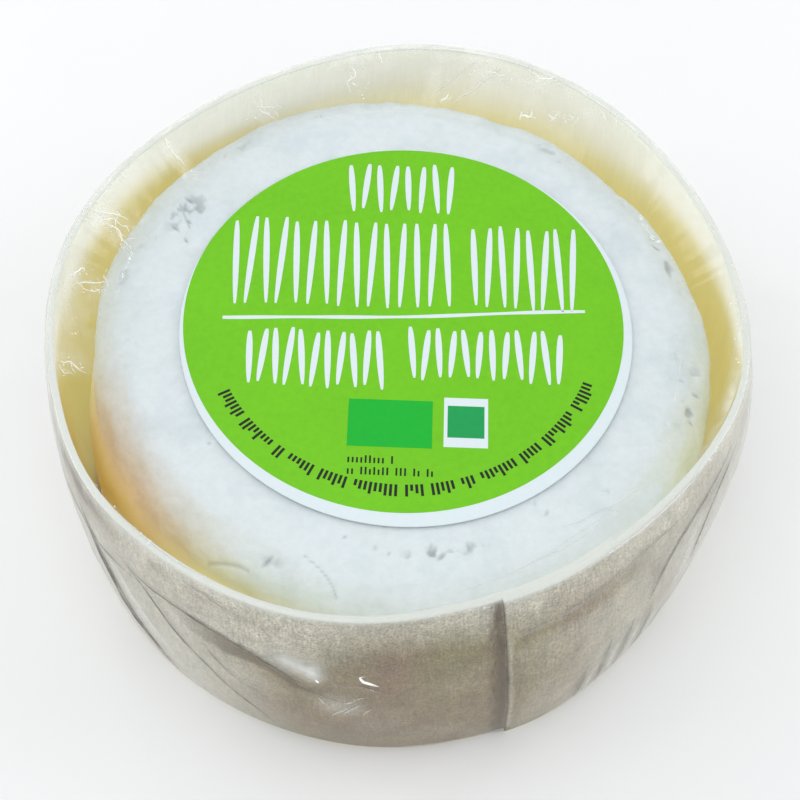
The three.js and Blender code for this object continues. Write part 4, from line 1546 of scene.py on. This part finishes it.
def make_wrinkles(box, wheel, film, rng):
    """The listed threads, each with short side threads drawn at random near it, and specks."""
    steps = 22
    t = np.linspace(-0.5, 0.5, steps)
    paths, widths, shine = [], [], []

    def add_short(degrees, radius, long, way, bend, width, bright):
        turned = way + bend * t
        out = radius + long * t * np.cos(turned)
        round_way = np.degrees(long * t * np.sin(turned) / radius)
        paths.append(np.stack([degrees + round_way, out], -1))
        widths.append(width)
        shine.append(bright)

    for width, bright, points in THREADS:
        path = smooth_path(points, steps)
        wobble = np.sin(TURN * np.outer(t, rng.uniform(1.5, 3.5, 2)) + rng.uniform(0, 6, 2))
        paths.append(path + wobble * (0.12, 0.07))
        widths.append(width)
        shine.append(bright)
        if bright < 0.5:
            continue
        for _ in range(3):
            degrees, radius = path[rng.integers(0, steps)]
            add_short(
                degrees + 0.5 * rng.normal(), radius + 0.25 * rng.normal(), rng.uniform(0.5, 1.5),
                rng.uniform(-math.pi, math.pi), rng.uniform(-1.5, 1.5), width * 0.7, bright * 0.8,
            )
    for degrees, radius, spread, reach, count in SPECKS:
        for _ in range(count):
            add_short(
                degrees + 0.5 * spread * rng.normal(), radius + 0.5 * reach * rng.normal(),
                rng.uniform(0.2, 0.5), rng.uniform(-math.pi, math.pi), rng.uniform(-1, 1),
                rng.uniform(0.14, 0.26), rng.uniform(0.4, 1.0),
            )
    paths, widths, shine = np.array(paths), np.array(widths), np.array(shine)
    angle = paths[..., 0] * DEGREE
    out = np.clip(paths[..., 1], 30.5, None) * MM
    level = np.where(out < film.landing, out / film.landing, rim_level(box, film, angle, out))
    creases = np.array([smooth_path(points, steps) for _, _, points in WALL_GLINTS])
    angle = np.vstack([angle, creases[..., 0] * DEGREE])
    level = np.vstack([level, wall_level(creases[..., 1] * MM)])
    widths = np.append(widths, [width for width, _, _ in WALL_GLINTS])
    shine = np.append(shine, [bright for _, bright, _ in WALL_GLINTS])
    at, normal, across = ribbon_frames(box, wheel, film, angle, level)
    lift = 0.5 * widths * MM
    return ribbons(
        "film_wrinkles", at, normal, across, 0.8 * widths * MM, lift, 0 * shine, 0.65 * shine, 8,
        shine,
    )


def film_material(film):
    """Clear film: what is behind it, under a mirror whose share grows towards grazing as
    Schlick's fifth power does, with a milky share from the mask."""
    made, tree, surface, output = fresh_material("clear_film")
    crinkle = use_group(tree, mottle_group(), {"Place": object_place(tree), "Patch Size": 0.0016})
    normal = bump(tree, crinkle["Mask"], 0.00004, 0.35)
    facing = node(tree, "LayerWeight", {"Blend": 0.5}).outputs["Facing"]
    grazing = math_node(tree, "POWER", facing, 5.0)
    mirror_share = math_node(tree, "MULTIPLY_ADD", grazing, 0.6, 0.035)
    clear = node(tree, "BsdfTransparent")
    mirror = node(tree, "BsdfGlossy", {"Roughness": 0.09, "Normal": normal})
    skin = node(tree, "MixShader", {0: mirror_share, 1: clear.outputs[0], 2: mirror.outputs[0]})
    # The line mask paints crease shade on the film.
    line = mask_of(tree, "line")
    milky = mix_colours(tree, line, tuple(film.haze), tuple(film.line))
    set_inputs(tree, surface, {
        "Base Color": milky, "Roughness": in_range(tree, line, 0, 1, 0.25, 0.7),
        "Specular IOR Level": in_range(tree, line, 0, 1, 0.5, 0.0),
        "Normal": normal, "Emission Color": (1, 1, 1, 1),
        # Painted glints: where the glint mask is set, the film glows white.
        "Emission Strength": math_node(tree, "MULTIPLY", mask_of(tree, "glint"), 0.25),
    })
    cloudy = in_range(tree, crinkle["Mask"], 0, 1, 0.78, 1.15)
    both = node(tree, "MixShader", {
        0: math_node(tree, "MULTIPLY", mask_of(tree, "haze"), cloudy, clamp=True),
        1: skin.outputs[0], 2: surface.outputs[0],
    })
    tree.links.new(both.outputs[0], output.inputs[0])
    return made


class CHEESE_OT_film(bpy.types.Operator):
    """Build the clear film with its folds and wrinkles"""

    bl_idname = "boxed_cheese.film"
    bl_label = "Film"

    def execute(self, context):
        scene = context.scene
        sizes = (scene.cheese_box, scene.cheese_wheel, scene.cheese_film)
        rng = np.random.default_rng(scene.cheese_stage.seed)
        folds = wall_folds(rng)
        skin = make_film_skin(*sizes, folds)
        creases = make_wall_folds(*sizes, folds)
        wrinkles = make_wrinkles(*sizes, rng)
        clear = film_material(scene.cheese_film)
        for piece in (skin, creases, wrinkles):
            piece.data.materials.append(clear)
            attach(piece, "root")
        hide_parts("film_wrap")
        return {"FINISHED"}


# ---- The label ----


def label_z(x, y):
    """Height of the paper's top: flat, with slow waves of a few hundredths of a millimetre, and
    drooping by two tenths at its edge."""
    wave = np.sin(x / (9 * MM) + 0.4) * np.sin(y / (12 * MM) + 1.1)
    out = np.hypot(x - LABEL_CENTRE.x, y - LABEL_CENTRE.y)
    droop = 0.2 * MM * smoothstep(out, LABEL_RADIUS - 4 * MM, LABEL_RADIUS)
    return LABEL_HIGH.z + 0.05 * MM * wave - droop


def disc_rings(count, edge):
    """Shares of the radius from near the middle out, with close rings at the edge."""
    return np.concatenate([np.linspace(0.06, 0.97, count), [0.99, 1 - edge, 1.0]])


def make_disc(name, centre, radius, low, high):
    """A thin disc that follows the label's waves: rings out along its top, round its edge and
    back along its bottom, closed on two poles. It ends at the paper's edge at the latest."""
    out = disc_rings(16, 0.003)
    s = np.concatenate([out, out[::-1]])[:, None]
    lift = np.concatenate([0 * out + high, 0 * out + low])[:, None]
    lift[len(out) - 1] = high - 0.2 * (high - low)
    lift[len(out)] = low + 0.2 * (high - low)
    angle = (TURN * np.arange(360) / 360)[None, :]
    off_x, off_y = centre[0] - LABEL_CENTRE.x, centre[1] - LABEL_CENTRE.y
    along = off_x * np.cos(angle) + off_y * np.sin(angle)
    to_edge = -along + np.sqrt(along**2 + LABEL_RADIUS**2 - off_x**2 - off_y**2)
    reach = np.minimum(radius, to_edge)
    x = centre[0] + s * reach * np.cos(angle)
    y = centre[1] + s * reach * np.sin(angle)
    points = spot(x, y, label_z(x, y) + lift)
    middle_z = label_z(np.array(centre[0]), np.array(centre[1]))
    middle = np.array([[*centre, middle_z + high], [*centre, middle_z + low]])
    return put_capped(name, points, middle, sharp=60 * DEGREE)


def ink_strips(name, x, y, half_x, half_y, low, high):
    """Flat printed strips: x and y (strips x steps) run along each middle line, and half_x and
    half_y reach from it to the right-hand edge. Both faces follow the label's waves."""
    side = np.array([-1, 1, 1, -1])
    lift = np.array([high, high, low, low])
    px = x[..., None] + half_x[..., None] * side
    py = y[..., None] + half_y[..., None] * side
    points = spot(px, py, label_z(px, py) + lift)
    return put_mesh(
        name, points.reshape(-1, 3), tube_polygons(x.shape[0], x.shape[1], 4), sharp=30 * DEGREE
    )


# The print's rows of upright blades, in millimetres from the print's centre: from x to x, foot
# and tip, and how many in each run.
BLADE_ROWS = (
    ((-7.4, 5.6), (16.9, 25.0), 8),
    ((-21.9, 5.4), (1.7, 15.1), 15),
    ((8.9, 21.6), (2.0, 14.8), 8),
    ((-19.1, -2.8), (-10.6, -2.3), 11),
    ((1.2, 19.6), (-8.9, -1.6), 12),
)


def make_blades(label, rng):
    """Rows of slender upright blades: each is a straight line that leans a little, as wide as a
    half sine to the power of 0.35, so that both its ends are round."""
    steps = np.linspace(0, 1, 17)[None, :]
    feet, tips, lean = [], [], []
    for (left, right), (foot, tip), count in BLADE_ROWS:
        at = np.linspace(left, right, count)
        feet += [(x, foot + rng.uniform(-0.4, 0.4)) for x in at]
        tips += [(0, tip + rng.uniform(-0.5, 0.3)) for _ in at]
        lean += [0.28 * (1 if k % 2 else -1) + rng.uniform(-0.15, 0.15) for k in range(count)]
    feet, tips, lean = np.array(feet), np.array(tips), np.array(lean)[:, None]
    middle = np.array(label.field_centre)
    x = middle[0] + MM * (feet[:, :1] + lean * (2 * steps - 1))
    y = middle[1] + MM * lerp(feet[:, 1:], tips[:, 1:], steps)
    wide = 0.40 * MM * np.clip(np.sin(math.pi * (0.02 + 0.96 * steps)), 0, 1) ** 0.35
    half_x = wide * (0.85 + 0.3 * steps) + 0 * x
    return ink_strips("print_blades", x, y, half_x, 0 * x, label.ink, 2 * label.ink)


def bars(label, rows):
    """Straight bars from (x, y, length, height) rows in millimetres from the print's centre."""
    rows = np.array(rows)
    steps = np.linspace(0, 1, 9)[None, :]
    middle = np.array(label.field_centre)
    x = middle[0] + MM * (rows[:, :1] + rows[:, 2:3] * steps)
    y = middle[1] + MM * (rows[:, 1:2] + 0 * steps)
    return x, y, 0 * x, -MM * rows[:, 3:4] / 2 + 0 * x


def make_rule(label):
    """The thin line between the rows: it climbs a little and wavers."""
    steps = np.linspace(0, 1, 90)[None, :]
    middle = np.array(label.field_centre)
    x = middle[0] + MM * lerp(-22.9, 23.0, steps)
    y = middle[1] + MM * (lerp(-0.9, 1.9, steps**1.3) + 0.12 * np.sin(9 * steps))
    half = 0.24 * MM * (1 + 0.15 * np.sin(23 * steps))
    return ink_strips("print_rule", x, y, 0 * x, -half, label.ink, 2 * label.ink)


def tick_places(first, last, pitch, rng):
    """Places of small ticks from first to last, in groups of two to nine with wider gaps."""
    places, at, left = [], first, rng.integers(2, 10)
    while at < last:
        places.append(at)
        left -= 1
        at += pitch if left else 2.1 * pitch
        left = left or rng.integers(2, 10)
    return np.array(places)


def make_arc_ticks(label, rng):
    """Short black ticks along an arc low on the print, like the marks round a dial."""
    middle, radius = np.array(label.field_centre), 24.9 * MM
    angle = (tick_places(-151, -21, 1.42, rng) * DEGREE)[:, None]
    high = (rng.choice([0.85, 1.2, 1.6], len(angle), p=[0.2, 0.5, 0.3]) * MM)[:, None]
    out = radius - 0.8 * MM + high * np.linspace(0, 1, 4)
    x, y = middle[0] + out * np.cos(angle), middle[1] + out * np.sin(angle)
    half = 0.17 * MM + 0 * out
    return ink_strips(
        "print_arc_ticks", x, y, -half * np.sin(angle), half * np.cos(angle),
        label.ink, 2 * label.ink,
    )


def make_caption_ticks(label, rng):
    """Two short rows of small black ticks under the left panel."""
    rows = []
    for last, foot in ((-0.4, -21.3), (4.2, -22.9)):
        for x in tick_places(-6.1, last, 0.52, rng):
            rows.append((x, foot, rng.choice([0.75, 1.05])))
    x, foot, high = (np.array(rows) * MM).T[:, :, None]
    middle = np.array(label.field_centre)
    y = middle[1] + foot + high * np.linspace(0, 1, 3)
    x = middle[0] + x + 0 * y
    return ink_strips("print_captions", x, y, 0.11 * MM + 0 * x, 0 * x, label.ink, 2 * label.ink)


def paper_material(name, ink, mottled, roughness):
    """Coated paper or ink: one colour with a faint mottle and the paper's fine tooth."""
    made, tree, surface, _ = fresh_material(name)
    placed = object_place(tree)
    fine = use_group(tree, mottle_group(), {"Place": placed, "Patch Size": 0.0009})
    broad = use_group(tree, mottle_group(), {"Place": placed, "Patch Size": 0.009})
    both = math_node(tree, "ADD", math_node(tree, "MULTIPLY", fine["Mask"], 0.6),
                     math_node(tree, "MULTIPLY", broad["Mask"], 0.4))
    shade = in_range(tree, both, 0, 1, 1 - mottled, 1 + mottled)
    colour = mix_colours(tree, 1.0, tuple(ink), shade, "MULTIPLY")
    tooth = node(tree, "TexNoise", {"Vector": placed, "Scale": 3500.0, "Detail": 2.0})
    set_inputs(tree, surface, {
        "Base Color": colour, "Roughness": roughness, "Specular IOR Level": 0.35,
        "Normal": bump(tree, tooth.outputs[0], 0.00002, 0.4),
    })
    return made


class CHEESE_OT_label(bpy.types.Operator):
    """Build the round paper label and its print of plain shapes"""

    bl_idname = "boxed_cheese.label"
    bl_label = "Label"

    def execute(self, context):
        label = context.scene.cheese_label
        rng = np.random.default_rng(context.scene.cheese_stage.seed + 1)
        ink = label.ink
        white = paper_material("label_paper", label.paper, 0.02, 0.5)
        green = paper_material("ink_green", label.green, 0.07, 0.5)
        black = paper_material("ink_black", label.black, 0.1, 0.55)
        thick = LABEL_HIGH.z - LABEL_LOW.z
        paper = make_disc("label_paper", LABEL_CENTRE[:2], LABEL_RADIUS, -thick, 0.0)
        field = make_disc(
            "print_field", tuple(label.field_centre), label.field_radius, 0.1 * ink, ink
        )
        left = ink_strips(
            "print_panel_left", *bars(label, [(-6.4, -15.65, 10.3, 6.7)]), ink, 2 * ink
        )
        frame_bar = ink_strips(
            "print_panel_frame", *bars(label, [(5.3, -15.2, 5.4, 7.0)]), ink, 2 * ink
        )
        right = ink_strips(
            "print_panel_right", *bars(label, [(5.75, -15.1, 4.5, 4.5)]), 2 * ink, 3 * ink
        )
        finishes = {
            paper: white, field: green, make_blades(label, rng): white, make_rule(label): white,
            left: paper_material("ink_dark_green", label.dark_green, 0.05, 0.5), frame_bar: white,
            right: paper_material("ink_deep_green", label.deep_green, 0.05, 0.5),
            make_caption_ticks(label, rng): black, make_arc_ticks(label, rng): black,
        }
        for piece, finish in finishes.items():
            piece.data.materials.append(finish)
            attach(piece, "root")
        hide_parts("label")
        return {"FINISHED"}


# ---- The stage ----


# The lamps: name, side in metres, the setting that holds the power, and place in metres.
LAMPS = (
    ("softbox", 0.5, "softbox", (-0.12, -0.10, 0.75)),
    ("side_left", 0.4, "side_lamp", (-0.62, 0.02, 0.22)),
    ("side_right", 0.4, "side_lamp", (0.62, 0.06, 0.22)),
    ("sparkle_back", 0.05, "sparkle", (-0.25, 0.55, 0.65)),
    ("sparkle_left", 0.05, "sparkle", (-0.55, 0.15, 0.6)),
    ("sparkle_right", 0.05, "sparkle", (0.45, 0.35, 0.6)),
)


def look_matrix(stage):
    """The camera's place and turn: forward from its two angles, then rolled about it."""
    down, right = stage.look_down, stage.look_right
    forward = Vector((
        math.sin(right) * math.cos(down), math.cos(right) * math.cos(down), -math.sin(down),
    ))
    level = forward.cross(Vector((0, 0, 1))).normalized()
    over = level.cross(forward)
    side = level * math.cos(stage.roll) + over * math.sin(stage.roll)
    up = side.cross(forward)
    turned = Matrix((side, up, -forward)).transposed().to_4x4()
    return Matrix.Translation(Vector(stage.eye)) @ turned


def add_lamp(name, size, power, at):
    """A square lamp at a place, aimed at the box."""
    lamp = bpy.data.lights.new(name, "AREA")
    lamp.size, lamp.energy = size, power
    made = bpy.data.objects.new(name, lamp)
    made.location = at
    made.rotation_euler = (Vector((0, 0, 0.03)) - Vector(at)).to_track_quat("-Z", "Y").to_euler()
    bpy.context.scene.collection.objects.link(made)


def floor_material(stage):
    made, tree, surface, _ = fresh_material("pale_floor")
    cloud = use_group(tree, mottle_group(), {"Place": object_place(tree), "Patch Size": 0.05})
    shade = in_range(tree, cloud["Mask"], 0, 1, 0.985, 1.0)
    colour = mix_colours(tree, 1.0, tuple(stage.floor_colour), shade, "MULTIPLY")
    set_inputs(tree, surface, {"Base Color": colour, "Roughness": 0.8})
    return made


class CHEESE_OT_stage(bpy.types.Operator):
    """Set the camera, the lamps and the pale floor"""

    bl_idname = "boxed_cheese.stage"
    bl_label = "Stage"

    def execute(self, context):
        scene = context.scene
        stage = scene.cheese_stage
        camera = bpy.data.cameras.new("camera")
        camera.sensor_width, camera.lens = 36, stage.lens
        camera.clip_start, camera.clip_end = 0.01, 20
        eye = bpy.data.objects.new("camera", camera)
        scene.collection.objects.link(eye)
        eye.matrix_world = look_matrix(stage)
        scene.camera = eye
        scene.view_settings.view_transform = "Standard"
        scene.cycles.transparent_max_bounces = 24

        world = bpy.data.worlds.new("daylight")
        world.use_nodes = True
        background = world.node_tree.nodes["Background"]
        background.inputs["Color"].default_value = (0.95, 0.98, 1.0, 1)
        background.inputs["Strength"].default_value = stage.daylight
        scene.world = world
        for name, size, power, at in LAMPS:
            add_lamp(name, size, getattr(stage, power), at)

        reach, low = 1.5, -0.05 * MM
        mesh = bpy.data.meshes.new("floor")
        corners = [
            (-reach, -reach, low), (reach, -reach, low), (reach, reach, low), (-reach, reach, low),
        ]
        mesh.from_pydata(corners, [], [(0, 1, 2, 3)])
        floor = bpy.data.objects.new("floor", mesh)
        scene.collection.objects.link(floor)
        mesh.materials.append(floor_material(stage))
        return {"FINISHED"}


# ---- The add-on ----


class CHEESE_PT_panel(bpy.types.Panel):
    """Lists the pieces and their sizes in the sidebar"""

    bl_idname = "CHEESE_PT_panel"
    bl_label = "Boxed Cheese"
    bl_space_type = "VIEW_3D"
    bl_region_type = "UI"
    bl_category = "Boxed Cheese"

    def draw(self, context):
        for operator in OPERATORS:
            self.layout.operator(operator.bl_idname)
        for attribute, group_class in SETTINGS.items():
            part = self.layout.box()
            part.label(text=group_class.__doc__.split(":")[0])
            for key in group_class.__annotations__:
                part.prop(getattr(context.scene, attribute), key)


SETTINGS = {
    "cheese_box": BoxSizes, "cheese_wheel": WheelSizes, "cheese_film": FilmSizes,
    "cheese_label": LabelSizes, "cheese_stage": StageSizes,
}
OPERATORS = (
    CHEESE_OT_hoop, CHEESE_OT_base, CHEESE_OT_wheel, CHEESE_OT_film, CHEESE_OT_label,
    CHEESE_OT_stage,
)


def register():
    for each in (*SETTINGS.values(), *OPERATORS, CHEESE_PT_panel):
        bpy.utils.register_class(each)
    for attribute, group_class in SETTINGS.items():
        setattr(bpy.types.Scene, attribute, PointerProperty(type=group_class))


def unregister():
    for attribute in SETTINGS:
        delattr(bpy.types.Scene, attribute)
    for each in reversed((*SETTINGS.values(), *OPERATORS, CHEESE_PT_panel)):
        bpy.utils.unregister_class(each)


def main():
    register()
    bpy.ops.boxed_cheese.hoop()
    bpy.ops.boxed_cheese.base()
    bpy.ops.boxed_cheese.wheel()
    bpy.ops.boxed_cheese.film()
    bpy.ops.boxed_cheese.label()
    bpy.ops.boxed_cheese.stage()


if __name__ == "__main__":
    main()
